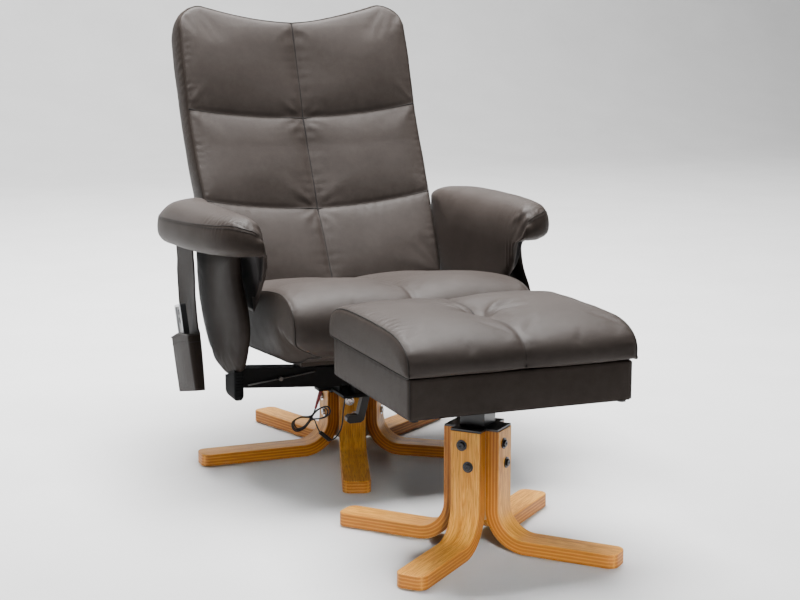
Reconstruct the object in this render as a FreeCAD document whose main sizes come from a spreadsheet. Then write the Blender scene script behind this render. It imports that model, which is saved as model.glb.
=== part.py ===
import FreeCAD, Part
import math
import os
import Sketcher

# Massage recliner with storage footstool.  Millimetres, +Z up, the chair faces -Y.
# The chair turns about a vertical axis at (axis_x, axis_y); the footstool stands in front of it.

V = FreeCAD.Vector
Rot = FreeCAD.Rotation
Pl = FreeCAD.Placement

doc = FreeCAD.newDocument("massage_recliner")
sheet = doc.addObject("Spreadsheet::Sheet", "dims")
vals = {}


def cell(alias, value):
    """One driving dimension: a plain number with an alias."""
    n = len(vals) + 1
    sheet.set("A%d" % n, alias.replace("_", " "))
    sheet.set("B%d" % n, "%.6g" % value)
    sheet.setAlias("B%d" % n, alias)
    vals[alias] = float("%.6g" % value)
    return vals[alias]


# ---------------------------------------------------------------- driving dimensions
for alias, value in [
        ("axis_x", 4.0), ("axis_y", 222.0),
        ("leg_width", 60.0), ("leg_thick", 26.0), ("leg_bend", 55.0), ("glide_thick", 3.0), ("glide_rad", 13.0),
        ("chair_leg_reach", 358.0), ("chair_leg_top", 150.0), ("chair_hub_apothem", 42.0), ("chair_leg_turn", 251.9),
        ("stool_leg_reach", 288.0), ("stool_leg_top", 232.0), ("stool_hub_half", 30.5), ("stool_off_x", -7.5), ("stool_off_y", -720.0),
        ("bolt_shank_rad", 4.0), ("bolt_hole_rad", 4.2), ("bolt_head_rad", 7.0), ("bolt_head_thick", 4.0),
        ("washer_rad", 10.5), ("washer_thick", 1.6), ("bolt_grip", 38.0), ("bolt_stagger", 6.5),
        ("spindle_rad", 19.95), ("spindle_bore_rad", 20.0), ("flange_rad", 40.0),
        ("post_tube_wide", 50.0), ("box_wide", 434.0), ("box_deep", 393.0), ("box_floor", 306.5), ("box_rim", 380.0), ("box_wall", 12.0),
        ("lid_wide", 454.0), ("lid_deep", 413.0), ("lid_low", 381.0), ("lid_high", 444.0),
        ("pivot_y", 150.0), ("pivot_z", 300.0), ("back_lean", 22.5), ("back_wide", 540.0), ("pin_rad", 5.0), ("pin_bore_rad", 5.05),
        ("seat_wide", 536.0), ("seat_floor", 278.0), ("arm_low", 482.0), ("arm_high", 586.0),
        ("pocket_lean", 13.0), ("remote_lean", 9.0), ("cord_dia", 3.2)]:
    cell(alias, value)
AX, AY = vals["axis_x"], vals["axis_y"]
SX, SY = AX + vals["stool_off_x"], AY + vals["stool_off_y"]
parts = []


def bind(obj, prop, alias):
    obj.setExpression(prop, "dims." + alias)


def keep(obj, label):
    obj.Label = label
    parts.append(obj)
    return obj


def at(x, y, z, rot=None):
    """Placement measured from the chair's turning axis."""
    return Pl(V(x + AX, y + AY, z), rot or Rot())


def box(name, x0, x1, y0, y1, z0, z1, kept=True):
    """Rectangular block given in the chair's axes, its three sizes bound to the sheet."""
    b = doc.addObject("Part::Box", name)
    for prop, size in (("Length", x1 - x0), ("Width", y1 - y0), ("Height", z1 - z0)):
        cell(name + "_" + prop.lower(), size)
        bind(b, prop, name + "_" + prop.lower())
    b.Placement = at(x0, y0, z0)
    return keep(b, name) if kept else b


def cyl(name, rad, length, placement, kept=True, rad_alias=None):
    c = doc.addObject("Part::Cylinder", name)
    if rad_alias is None:
        rad_alias = name + "_rad"
        cell(rad_alias, rad)
    cell(name + "_span", length)
    bind(c, "Radius", rad_alias)
    bind(c, "Height", name + "_span")
    c.Placement = placement
    return keep(c, name) if kept else c


def cut(name, base, tool):
    c = doc.addObject("Part::Cut", name)
    c.Base, c.Tool = base, tool
    return keep(c, name)


def fuse(name, shapes, kept=True):
    f = doc.addObject("Part::MultiFuse", name)
    f.Shapes = shapes
    return keep(f, name) if kept else f


def feature(name, shape, placement=None, kept=True):
    f = doc.addObject("Part::Feature", name)
    f.Shape = shape
    if placement is not None:
        f.Placement = placement
    return keep(f, name) if kept else f


def new_body(name, plane):
    body = doc.addObject("PartDesign::Body", name)
    sk = body.newObject("Sketcher::SketchObject", name + "_outline")
    sk.AttachmentSupport = ([o for o in body.Origin.OriginFeatures if o.Role == plane][0], [""])
    sk.MapMode = "FlatFace"
    return body, sk


def pad(body, sk, name, length, alias=None, both=True, back=False):
    p = body.newObject("PartDesign::Pad", name + "_pad")
    p.Profile = sk
    if alias is None:
        alias = name + "_run"
        cell(alias, length)
    bind(p, "Length", alias)
    if both:
        p.SideType = "Symmetric"
    p.Reversed = back
    return p


def polygon(name, plane, pts, length, placement, both=True, back=False, kept=True):
    """Padded straight-sided outline; every corner is held by two bound distances."""
    body, sk = new_body(name, plane)
    n = len(pts)
    for i in range(n):
        a, b = pts[i], pts[(i + 1) % n]
        sk.addGeometry(Part.LineSegment(V(a[0], a[1], 0), V(b[0], b[1], 0)), False)
    for i in range(n):
        sk.addConstraint(Sketcher.Constraint("Coincident", i, 2, (i + 1) % n, 1))
    for i, (u, w) in enumerate(pts):
        for kind, tag, val in (("DistanceX", "across", u), ("DistanceY", "upward", w)):
            alias = "%s_%s_%d" % (name, tag, i)
            cell(alias, val)
            k = sk.addConstraint(Sketcher.Constraint(kind, -1, 1, i, 1, vals[alias]))
            sk.setExpression("Constraints[%d]" % k, "dims." + alias)
    pad(body, sk, name, length, None, both, back)
    body.Placement = placement
    return keep(body, name) if kept else body


def soft(name, plane, pts, length, placement, alias=None, round_over=0.0, both=True, kept=True):
    """Padded smooth closed outline with its two rims rounded, for an upholstered piece."""
    body, sk = new_body(name, plane)
    curve = Part.BSplineCurve()
    curve.interpolate([V(u, w, 0) for u, w in pts], PeriodicFlag=True)
    sk.addGeometry(curve, False)
    p = pad(body, sk, name, length, alias, both)
    if round_over:
        doc.recompute()
        rims = ["Edge%d" % (i + 1) for i, e in enumerate(p.Shape.Edges) if e.Closed]
        f = body.newObject("PartDesign::Fillet", name + "_round")
        f.Base = (p, rims)
        cell(name + "_round", round_over)
        bind(f, "Radius", name + "_round")
    body.Placement = placement
    return keep(body, name) if kept else body


# ---------------------------------------------------------------- bent plywood legs
def leg(name, inner, reach, top, centre, turn, holes):
    """One bent leg: an upright bolted to the hub, a bend, and a flat foot with rounded corners."""
    t, g, r = vals["leg_thick"], vals["glide_thick"], vals["leg_bend"]
    body, sk = new_body(name, "XZ_Plane")
    cx, cz = inner + t + r, g + t + r
    q = math.sqrt(0.5)
    sk.addGeometry(Part.LineSegment(V(inner, top, 0), V(inner, cz, 0)), False)
    sk.addGeometry(Part.Arc(V(inner, cz, 0), V(cx - (r + t) * q, cz - (r + t) * q, 0), V(cx, g, 0)), False)
    sk.addGeometry(Part.LineSegment(V(cx, g, 0), V(reach, g, 0)), False)
    sk.addGeometry(Part.LineSegment(V(reach, g, 0), V(reach, g + t, 0)), False)
    sk.addGeometry(Part.LineSegment(V(reach, g + t, 0), V(cx, g + t, 0)), False)
    sk.addGeometry(Part.Arc(V(cx, g + t, 0), V(cx - r * q, cz - r * q, 0), V(inner + t, cz, 0)), False)
    sk.addGeometry(Part.LineSegment(V(inner + t, cz, 0), V(inner + t, top, 0)), False)
    sk.addGeometry(Part.LineSegment(V(inner + t, top, 0), V(inner, top, 0)), False)
    joins = [(0, 2, 1, 1), (1, 2, 2, 1), (2, 2, 3, 1), (3, 2, 4, 1), (4, 2, 5, 2), (5, 1, 6, 1), (6, 2, 7, 1), (7, 2, 0, 1)]
    for g1, e1, g2, e2 in joins:
        sk.addConstraint(Sketcher.Constraint("Coincident", g1, e1, g2, e2))
    for i in (0, 3, 6):
        sk.addConstraint(Sketcher.Constraint("Vertical", i))
    for i in (2, 4, 7):
        sk.addConstraint(Sketcher.Constraint("Horizontal", i))
    kit = name.split("_")[0].replace("base", "chair")
    for con, val, expr in (
            (("DistanceX", -1, 1, 2, 2), reach, "dims.%s_leg_reach" % kit),
            (("DistanceY", -1, 1, 0, 1), top, "dims.%s_leg_top" % kit),
            (("DistanceX", -1, 1, 0, 1), inner, "dims." + ("chair_hub_apothem" if kit == "chair" else "stool_hub_half")),
            (("DistanceY", -1, 1, 2, 2), g, "dims.glide_thick"),
            (("DistanceY", 3, 1, 3, 2), t, "dims.leg_thick"),
            (("DistanceX", 7, 2, 7, 1), t, "dims.leg_thick"),
            (("Radius", 5), r, "dims.leg_bend"),
            (("Radius", 1), r + t, "dims.leg_bend + dims.leg_thick")):
        n = sk.addConstraint(Sketcher.Constraint(*(con + (val,))))
        sk.setExpression("Constraints[%d]" % n, expr)
    p = pad(body, sk, name, 0, "leg_width")
    doc.recompute()
    tips, rims = [], []
    for i, e in enumerate(p.Shape.Edges):
        bb = e.BoundBox
        if bb.XLength < 0.01 and bb.YLength < 0.01 and abs(bb.XMin - reach) < 0.01:
            tips.append("Edge%d" % (i + 1))
    f = body.newObject("PartDesign::Fillet", name + "_corner")
    f.Base = (p, tips)
    cell(name + "_corner", 18.0)
    bind(f, "Radius", name + "_corner")
    doc.recompute()
    for i, e in enumerate(f.Shape.Edges):
        bb = e.BoundBox
        if bb.YLength < 0.01 and bb.XLength > 50 and bb.ZMin > g + t - 0.01 and bb.ZMax < g + t + 0.01:
            rims.append("Edge%d" % (i + 1))
    e2 = body.newObject("PartDesign::Fillet", name + "_ease")
    e2.Base = (f, rims[:1])
    cell(name + "_ease", 2.5)
    bind(e2, "Radius", name + "_ease")
    doc.recompute()
    if "Invalid" in e2.State or not e2.Shape.isValid():
        raise RuntimeError("edge easing failed on " + name)
    body.Placement = Pl(V(centre[0], centre[1], 0), Rot(V(0, 0, 1), turn))
    drills = []
    for z, off in holes:
        h = Part.makeCylinder(vals["bolt_hole_rad"], 200, V(0, off, z), V(1, 0, 0))
        drills.append(h)
    tool = feature(name + "_drill", Part.makeCompound(drills), Pl(V(centre[0], centre[1], 0), Rot(V(0, 0, 1), turn)), kept=False)
    body.Label = name + "_blank"
    return cut(name, body, tool)


def bolts(name, inner, centre, turns, holes, length):
    """Button-head bolts with their washers, one group of separate solids."""
    t = vals["leg_thick"]
    out = []
    for a in turns:
        for z, off in holes:
            face = inner + t
            head = face + vals["washer_thick"]
            sh = Part.makeCylinder(vals["bolt_shank_rad"], length + vals["washer_thick"], V(head - length - vals["washer_thick"], off, z), V(1, 0, 0))
            hd = Part.makeCylinder(vals["bolt_head_rad"], vals["bolt_head_thick"], V(head, off, z), V(1, 0, 0))
            hd = hd.makeFillet(1.6, [e for e in hd.Edges if e.BoundBox.XMin > head + vals["bolt_head_thick"] - 0.01])
            # hexagon socket in the head
            hexa = [V(head + vals["bolt_head_thick"] + 1, off + 2.9 * math.cos(math.radians(60 * k)), z + 2.9 * math.sin(math.radians(60 * k))) for k in range(7)]
            socket = Part.Face(Part.makePolygon(hexa)).extrude(V(-3.4, 0, 0))
            bolt = sh.fuse(hd).removeSplitter().cut(socket)
            ring = Part.makeCylinder(vals["washer_rad"], vals["washer_thick"], V(face, off, z), V(1, 0, 0))
            ring = ring.cut(Part.makeCylinder(vals["bolt_hole_rad"], 10, V(face - 4, off, z), V(1, 0, 0)))
            for s in (bolt, ring):
                s = s.copy()
                s.rotate(V(0, 0, 0), V(0, 0, 1), a)
                s.translate(V(centre[0], centre[1], 0))
                out.append(s)
    return feature(name, Part.makeCompound(out))


def glides(name, reach, centre, turns):
    out = []
    for a in turns:
        r = reach - 26.0
        x, y = centre[0] + r * math.cos(math.radians(a)), centre[1] + r * math.sin(math.radians(a))
        out.append(Part.makeCylinder(vals["glide_rad"], vals["glide_thick"], V(x, y, 0)))
    return feature(name, Part.makeCompound(out))


C_HOLES = [(131.0, -vals["bolt_stagger"]), (97.0, vals["bolt_stagger"])]
C_TURNS = [vals["chair_leg_turn"] + 72 * k for k in range(5)]
apo = vals["chair_hub_apothem"]

# ---------------------------------------------------------------- chair base (fixed on the floor)
body, sk = new_body("hub_blank", "XY_Plane")
circ = apo / math.cos(math.pi / 5)
pent = [(circ * math.cos(math.radians(36 + 72 * k)), circ * math.sin(math.radians(36 + 72 * k))) for k in range(5)]
for i in range(5):
    a, b = pent[i], pent[(i + 1) % 5]
    sk.addGeometry(Part.LineSegment(V(a[0], a[1], 0), V(b[0], b[1], 0)), False)
sk.addGeometry(Part.Circle(V(0, 0, 0), V(0, 0, 1), vals["spindle_bore_rad"]), False)
k = sk.addConstraint(Sketcher.Constraint("Radius", 5, vals["spindle_bore_rad"]))
sk.setExpression("Constraints[%d]" % k, "dims.spindle_bore_rad")
cell("hub_height", vals["chair_leg_top"] - 40.0)
pad(body, sk, "hub", 0, "hub_height", both=False)
body.Placement = Pl(V(AX, AY, 40.0), Rot(V(0, 0, 1), C_TURNS[0]))
drill = feature("hub_drill", Part.makeCompound([
    Part.makeCylinder(vals["bolt_hole_rad"], 26.0, V(0, off, z), V(1, 0, 0)).translated(V(apo - 14, 0, 0)).rotated(V(0, 0, 0), V(0, 0, 1), a).translated(V(AX, AY, 0))
    for a in C_TURNS for z, off in C_HOLES]), kept=False)
cut("hub_column", body, drill)

cap_apo = apo + vals["leg_thick"] - 2.0
cap_pts = [(cap_apo / math.cos(math.pi / 5) * math.cos(math.radians(36 + 72 * k)), cap_apo / math.cos(math.pi / 5) * math.sin(math.radians(36 + 72 * k))) for k in range(5)]
cap_blank = polygon("hub_cap_blank", "XY_Plane", cap_pts, 5.0, Pl(V(AX, AY, vals["chair_leg_top"]), Rot(V(0, 0, 1), C_TURNS[0])), both=False, kept=False)
cut("hub_cap_plate", cap_blank, cyl("hub_cap_bore", 0, 20.0, at(0, 0, 145), kept=False, rad_alias="spindle_bore_rad"))
for label, a in zip(("base_leg_front", "base_leg_front_right", "base_leg_rear_right", "base_leg_rear_left", "base_leg_front_left"), C_TURNS):
    leg(label, apo, vals["chair_leg_reach"], vals["chair_leg_top"], (AX, AY), a, C_HOLES)
bolts("base_bolts", apo, (AX, AY), C_TURNS, C_HOLES, vals["bolt_grip"])
glides("base_glides", vals["chair_leg_reach"], (AX, AY), C_TURNS)
ring = cyl("swivel_ring_blank", 38.0, 5.0, at(0, 0, 155), kept=False)
cut("swivel_bearing_ring", ring, cyl("swivel_ring_bore", 21.0, 9.0, at(0, 0, 153), kept=False))

# ---------------------------------------------------------------- turning frame under the seat
fuse("swivel_spindle", [cyl("spindle_shaft", 0, 126.0, at(0, 0, 45), kept=False, rad_alias="spindle_rad"),
                        cyl("spindle_flange", 0, 10.7, at(0, 0, 160.3), kept=False, rad_alias="flange_rad")])
polygon("mechanism_plate", "XY_Plane", [(-88, -195), (88, -195), (88, 160), (-88, 160), (-88, -80), (-116, -80), (-116, -112), (-88, -112)], 6.0, at(0, 0, 171), both=False)
# cross bar: a bent tube, its ends higher than its middle, standing on a foot on the plate
bar_outer = polygon("cross_bar_outer", "XZ_Plane", [(-314, 213), (-110, 199), (-60, 199), (-60, 177), (60, 177), (60, 199), (110, 199), (314, 213), (314, 255), (110, 241), (-110, 241), (-314, 255)], 40.0, at(0, -170, 0), kept=False)
bar_inner = polygon("cross_bar_hollow", "XZ_Plane", [(-320, 216.4), (-110.1, 202), (110.1, 202), (320, 216.4), (320, 252.4), (110.1, 238), (-110.1, 238), (-320, 252.4)], 34.0, at(0, -170, 0), kept=False)
cut("cross_bar", bar_outer, bar_inner)
head_bolts = []
for x, y in ((-62, -120), (62, -120), (-62, 120), (62, 120), (-40, -165), (40, -165)):
    b = Part.makeCylinder(6.0, 4.0, V(x + AX, y + AY, 167.0))
    head_bolts.append(b.makeFillet(1.2, [e for e in b.Edges if e.BoundBox.ZMax < 167.01]))
feature("mechanism_bolts", Part.makeCompound(head_bolts))

# side plates of the recline mechanism, carrying the back's pivot
py, pz = vals["pivot_y"], vals["pivot_z"]
plates = []
prof = [(-148, 177), (156, 177), (172, 262), (169, 302), (160, 315), (148, 318), (136, 312), (128, 300), (118, 252), (96, 231), (-148, 231)]
pin_bore = Part.makeCylinder(vals["pin_rad"], 400, V(-200, py, pz), V(1, 0, 0))
for x0 in (-81.0, 75.0):
    w = Part.makePolygon([V(x0, u, z) for u, z in prof] + [V(x0, prof[0][0], prof[0][1])])
    plates.append(Part.Face(w).extrude(V(6, 0, 0)).cut(pin_bore))
feature("mechanism_side_plates", Part.makeCompound(plates), at(0, 0, 0))
feature("recline_pins", Part.makeCompound([
    Part.makeCylinder(vals["pin_rad"], 21.0, V(-92, py, pz), V(1, 0, 0)).fuse(Part.makeCylinder(8.0, 3.0, V(-95, py, pz), V(1, 0, 0))).removeSplitter(),
    Part.makeCylinder(vals["pin_rad"], 21.0, V(71, py, pz), V(1, 0, 0)).fuse(Part.makeCylinder(8.0, 3.0, V(92, py, pz), V(1, 0, 0))).removeSplitter()]), at(0, 0, 0))
feature("glide_rails", Part.makeCompound([Part.makeBox(20, 238, 12, V(x, -148, 219)) for x in (-75, 55)]), at(0, 0, 0))
box("control_box", -48, 48, -120, -30, 177, 213)

# uprights, wrapped posts and end caps
uprights = [Part.makeBox(16, 50, 302, V(x, -195, 198)) for x in (-330, 314)]
feature("arm_uprights", Part.makeCompound(uprights), at(0, 0, 0))
caps = []
for s in (-1, 1):
    x0 = 312 if s > 0 else -334
    b = Part.Face(Part.makePolygon([V(x0, u, z) for u, z in [(-130, 189), (-206, 189), (-206, 253), (-130, 232), (-130, 189)]])).extrude(V(22, 0, 0))
    b = b.makeFillet(7.0, [e for e in b.Edges if e.BoundBox.ZMax < 189.01 and (e.BoundBox.XLength > 1 and e.BoundBox.YLength < 0.1)])
    b = b.cut(Part.makeBox(16, 50, 100, V(314 if s > 0 else -330, -195, 198))).cut(Part.makeBox(10, 40, 47, V(304 if s > 0 else -314, -190, 211)))
    caps.append(b)
feature("post_caps", Part.makeCompound(caps), at(0, 0, 0))
POST = [(86, 481.5), (80, 400), (56, 335), (6, 276), (-60, 241), (-130, 232.2), (-206, 253.2), (-232, 292), (-249, 348), (-232, 410), (-204, 481.5)]
for side, x0, x1 in (("left", -336, -308), ("right", 308, 336)):
    blank = polygon("arm_post_%s_blank" % side, "YZ_Plane", POST, x1 - x0, at((x0 + x1) / 2, 0, 0), kept=False)
    slot = feature("arm_post_%s_slot" % side, Part.makeBox(16, 50, 302, V(-330 if side == "left" else 314, -195, 198)).fuse(Part.makeBox(10, 40, 47, V(304 if side == "right" else -314, -190, 211))), at(0, 0, 0), kept=False)
    cut("arm_post_%s" % side, blank, slot)

# arm pads: leaf-shaped in plan, broad behind and drawn in to the nose
ARM = [(335, 262), (376, 236), (396, 150), (398, 40), (388, -80), (366, -188), (338, -266), (304, -290), (279, -240), (275, -100), (275, 60), (278, 185), (297, 248)]
cell("arm_height", vals["arm_high"] - vals["arm_low"])
aprons = []
for side, s in (("left", -1), ("right", 1)):
    blank = soft("arm_pad_%s_blank" % side, "XY_Plane", [(s * u, w) for u, w in ARM], 0, at(0, 0, vals["arm_low"]), alias="arm_height", round_over=7.0, both=False, kept=False)
    slot = feature("arm_pad_%s_slot" % side, Part.makeBox(16, 50, 302, V(-330 if s < 0 else 314, -195, 198)), at(0, 0, 0), kept=False)
    cut("arm_pad_%s" % side, blank, slot)
    # gathered inner panel under the arm, drawn to a point beside the seat
    aprons.append(polygon("arm_apron_%s" % side, "XZ_Plane", [(s * 272.5, 481.5), (s * 306, 481.5), (s * 292, 420), (s * 281, 366), (s * 275, 362), (s * 272.5, 380)], 380, at(0, -55, 0), kept=False))

pair = doc.addObject("Part::Compound", "arm_aprons")
pair.Links = aprons
keep(pair, "arm_aprons")

# side pocket on the left arm
P0 = V(-364 + AX, 66 + AY, 474)
PR = Rot(V(1, 0, 0), -vals["pocket_lean"])
polygon("pocket_panel", "YZ_Plane", [(-84, -311), (76, -311), (76, 25.3), (-72, -8.8)], 4.0, Pl(P0, PR))
outer = polygon("pouch_outer", "XZ_Plane", [(-2, -310), (-23, -310), (-31, -186), (-2, -186)], 164, Pl(P0, PR).multiply(Pl(V(0, -4, 0), Rot())), kept=False)
inner = polygon("pouch_hollow", "XZ_Plane", [(-2, -305), (-19.4, -305), (-27.4, -184), (-2, -184)], 156, Pl(P0, PR).multiply(Pl(V(0, -4, 0), Rot())), kept=False)
cut("pocket_pouch", outer, inner)

# remote control standing in the pouch, its outer face parallel to the pouch's wall
tilt = math.atan2(8.0, 121.0)
RP = Pl(P0, PR).multiply(Pl(V(-18.6, -8, -304.3), Rot(V(0, 1, 0), -math.degrees(tilt))))
rb = Part.makeBox(12, 46, 185, V(2, -23, 0))
rb = rb.makeFillet(4.0, [e for e in rb.Edges if e.BoundBox.YLength < 0.1 and e.BoundBox.ZLength < 0.1])
holes = [Part.makeCylinder(6.3, 3.4, V(2, 0, z), V(1, 0, 0)) for z in (150, 168)]
for h in holes:
    rb = rb.cut(h)
feature("remote_body", rb, RP)
bz = Part.makeBox(2, 46, 185, V(0, -23, 0))
bz = bz.makeFillet(4.0, [e for e in bz.Edges if e.BoundBox.YLength < 0.1 and e.BoundBox.ZLength < 0.1])
feature("remote_bezel", bz.cut(Part.makeBox(4, 38, 175, V(-1, -19, 5))), RP)
for label, z in (("remote_button_mode", 150), ("remote_button_power", 168)):
    b = Part.makeCylinder(6.0, 3.6, V(0.7, 0, z), V(1, 0, 0))
    feature(label, b.makeFillet(0.8, [e for e in b.Edges if e.BoundBox.XMax < 0.75]), RP)

# ---------------------------------------------------------------- lock lever with its pin and cable
lp = Part.makeCylinder(3.0, 42, V(-10, -134, 158), V(0, 1, 0)).fuse(Part.makeBox(24, 6, 26, V(-22, -98, 145))).removeSplitter()
feature("lever_pivot", lp, at(0, 0, 0))
LEV = [(-1.8, 155.8), (-4, 164), (-11, 168), (-17, 165), (-18.2, 160.2), (-30.5, 114), (-50, 114), (-56, 109), (-56, 101), (-50, 96), (-24, 96), (-16, 102)]
lev = polygon("lock_lever_blank", "XZ_Plane", LEV, 18, at(0, -118, 0), kept=False)
cut("lock_lever", lev, cyl("lever_bore", 3.05, 60, at(-10, -150, 158, Rot(V(1, 0, 0), -90)), kept=False))
d = V(200, 0, 23.5)
d.normalize()
rod = Part.makeCylinder(1.6, 150, V(-301, -194, 219), d)
clip = Part.makeCylinder(4.5, 9.0, V(-229, -199, 227.5), V(0, 1, 0))
feature("lock_cable", rod.fuse(clip).removeSplitter(), at(0, 0, 0))

# ---------------------------------------------------------------- seat (slides forward as the back reclines)
SEAT = [(104, 330), (96, 372), (40, 388), (-120, 412), (-270, 434), (-350, 430), (-396, 402), (-408, 355), (-392, 306), (-345, 281), (-200, 278), (40, 278), (92, 288)]
seat_blank = soft("seat_blank", "YZ_Plane", SEAT, 0, at(0, 0, 0), alias="seat_wide", round_over=8.0, kept=False)
board = Part.makeBox(440, 380, 14, V(-220, -310, 276))
motors = [Part.makeCylinder(30, 28, V(x, -120, 310)) for x in (-120, 120)]
seat_tool = feature("seat_pockets", Part.makeCompound([board] + motors), at(0, 0, 0), kept=False)
cut("seat_cushion", seat_blank, seat_tool)
feature("seat_board", Part.makeBox(440, 380, 14, V(-220, -310, 276)), at(0, 0, 0))
feature("seat_motors", Part.makeCompound(motors), at(0, 0, 0))
run = [(51, 222), (54.7, 222), (54.7, 231.3), (74.5, 231.3), (74.5, 276), (51, 276)]
run_sh = []
for s in (-1, 1):
    w = Part.makePolygon([V(s * u, -108, z) for u, z in run + run[:1]])
    run_sh.append(Part.Face(w).extrude(V(0, 168, 0)))
feature("seat_runners", Part.makeCompound(run_sh), at(0, 0, 0))

# ---------------------------------------------------------------- backrest, drawn upright about its pivot and then leaned
BP = at(0, py, pz, Rot(V(1, 0, 0), -vals["back_lean"]))
BACK = [(-58, 60), (-46, 135), (-24, 250), (-9, 400), (-7, 480), (-12, 620), (-15, 700), (4, 752), (38, 764), (70, 748), (84, 696), (86, 620), (80, 500), (66, 330), (54, 180), (36, 66), (2, 36), (-40, 36)]
back_blank = soft("back_blank", "YZ_Plane", BACK, 0, BP, alias="back_wide", round_over=8.0, kept=False)
bboard = Part.makeBox(430, 12, 620, V(-215, 38, 80))
bm = [Part.makeCylinder(28, 26, V(x, 12, z), V(0, 1, 0)) for x in (-110, 110) for z in (180, 400)]
ears = []
for x0 in (-87.6, 81.4):
    w = Part.makePolygon([V(x0, u, z) for u, z in [(-12, -6), (-6, -13), (6, -13), (13, -6), (50, 78), (50, 150), (38, 150), (38, 90), (-12, 8), (-12, -6)]])
    e = Part.Face(w).extrude(V(6.2, 0, 0)).cut(Part.makeCylinder(vals["pin_bore_rad"], 400, V(-200, 0, 0), V(1, 0, 0)))
    ears.append(e)
bf = bboard
for e in ears:
    bf = bf.fuse(e)
bf = bf.removeSplitter()
cut("back_cushion", back_blank, feature("back_pockets", Part.makeCompound([bf] + bm), BP, kept=False))
feature("back_board", bf, BP)
feature("back_motors", Part.makeCompound(bm), BP)

# ---------------------------------------------------------------- supply lead of the massage unit
def route(points, dia, label):
    """Round tube along straight runs joined by tangent arcs as large as the runs allow."""
    pts = [V(*p) for p in points]
    edges, start, radii = [], pts[0], []
    for i in range(1, len(pts) - 1):
        a, b = pts[i - 1] - pts[i], pts[i + 1] - pts[i]
        la, lb = a.Length, b.Length
        a.normalize()
        b.normalize()
        turn = math.pi - a.getAngle(b)
        back = 0.45 * min(la, lb)
        radii.append(back / math.tan(turn / 2))
        p1, p2 = pts[i] + a * back, pts[i] + b * back
        bis = a + b
        bis.normalize()
        centre = pts[i] + bis * (radii[-1] / math.cos(turn / 2))
        mid = centre - bis * radii[-1]
        edges.append(Part.LineSegment(start, p1).toShape())
        edges.append(Part.Arc(p1, mid, p2).toShape())
        start = p2
    edges.append(Part.LineSegment(start, pts[-1]).toShape())
    wire = Part.Wire(edges)
    ring = Part.Wire([Part.Circle(pts[0], pts[1] - pts[0], dia / 2).toShape()])
    tube = wire.makePipeShell([ring], True, False)
    print(label, "radii", [round(r, 1) for r in radii], "length %.1f" % wire.Length, "volume ratio %.4f" % (tube.Volume / (math.pi * dia ** 2 / 4 * wire.Length)))
    return tube


D = vals["cord_dia"]
LEAD = [(-120.5, -100, 131), (-123.5, -101, 124), (-128, -101.5, 117), (-131, -100, 110)]
TAIL = [(-131, -100, 110), (-129, -98.5, 101), (-125, -99, 92), (-118.5, -100, 83.5), (-111, -100, 76)]
RETURN = [(-87, -100, 55), (-78, -99, 55.5), (-69, -98, 63), (-61.5, -97, 74), (-57, -96, 88), (-55.5, -95, 102), (-54, -95, 118), (-51.5, -96, 135), (-51, -98, 153), (-53, -99, 171)]
sl = doc.addObject("Part::Cone", "cord_sleeve")
for alias, value, prop in (("sleeve_big_rad", 4.8, "Radius1"), ("sleeve_small_rad", 2.6, "Radius2"), ("sleeve_span", 42.0, "Height")):
    cell(alias, value)
    bind(sl, prop, alias)
down = V(-120.5, -100, 131) - V(-107, -100, 170.8)
sl.Placement = at(-107, -100, 170.8, Rot(V(0, 0, 1), down))
keep(sl, "cord_sleeve")
feature("cord_wire", Part.makeCompound([route(LEAD, D, "cord lead"), route(TAIL, D, "cord tail")]), at(0, 0, 0))
HANK = [(-132.7, 115.5), (-119.3, 121.7), (-106.2, 129.6), (-93.2, 131.7), (-84.9, 126.7), (-88, 117.6), (-99.4, 110.8), (-114.5, 108.5),
        (-129.3, 104.5), (-141.1, 94.3), (-155.5, 84.5), (-170.4, 84.2), (-178.6, 91.7), (-177.6, 102.8), (-166.3, 112.5), (-148.9, 114.9)]
soft("cord_hank", "XZ_Plane", HANK, 16.0, at(0, -100, 0))
cd = V(-87, -100, 55) - V(-111, -100, 76)
cn = Part.makeCylinder(4.6, cd.Length, V(-111, -100, 76), cd)
feature("cord_connector", cn.makeFillet(1.6, [e for e in cn.Edges if e.Closed]), at(0, 0, 0))
feature("cord_return", route(RETURN, D, "cord_return"), at(0, 0, 0))

# ---------------------------------------------------------------- footstool
S_TURNS = [221.5, 311.5, 41.5, 131.5]
S_HOLES = [(206.0, -vals["bolt_stagger"]), (166.0, vals["bolt_stagger"])]
hub = vals["stool_hub_half"]
half = vals["post_tube_wide"] / 2
SR = Rot(V(0, 0, 1), 41.5)
sb = Part.makeBox(2 * hub, 2 * hub, vals["stool_leg_top"] - 60, V(-hub, -hub, 60)).cut(Part.makeBox(2 * half, 2 * half, 400, V(-half, -half, 0)))
for a in range(4):
    for z, off in S_HOLES:
        sb = sb.cut(Part.makeCylinder(vals["bolt_hole_rad"], 40, V(half - 1, off, z), V(1, 0, 0)).rotated(V(0, 0, 0), V(0, 0, 1), 90 * a))
feature("stool_hub", sb, Pl(V(SX, SY, 0), SR))
tube = Part.makeBox(2 * half, 2 * half, vals["box_floor"] - 70, V(-half, -half, 70)).cut(Part.makeBox(2 * half - 6, 2 * half - 6, 400, V(3 - half, 3 - half, 60)))
feature("stool_post", tube, Pl(V(SX, SY, 0), SR))
cp = Part.makeBox(2 * hub + 48, 2 * hub + 48, 4, V(-hub - 24, -hub - 24, vals["stool_leg_top"])).cut(Part.makeBox(2 * half, 2 * half, 40, V(-half, -half, vals["stool_leg_top"] - 10)))
corner = hub + 24
keepout = [Part.makeBox(40, 40, 40, V(sx * (corner - 24) - (40 if sx < 0 else 0), sy * (corner - 24) - (40 if sy < 0 else 0), vals["stool_leg_top"] - 10)) for sx in (-1, 1) for sy in (-1, 1)]
for k in keepout:
    cp = cp.cut(k)
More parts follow.
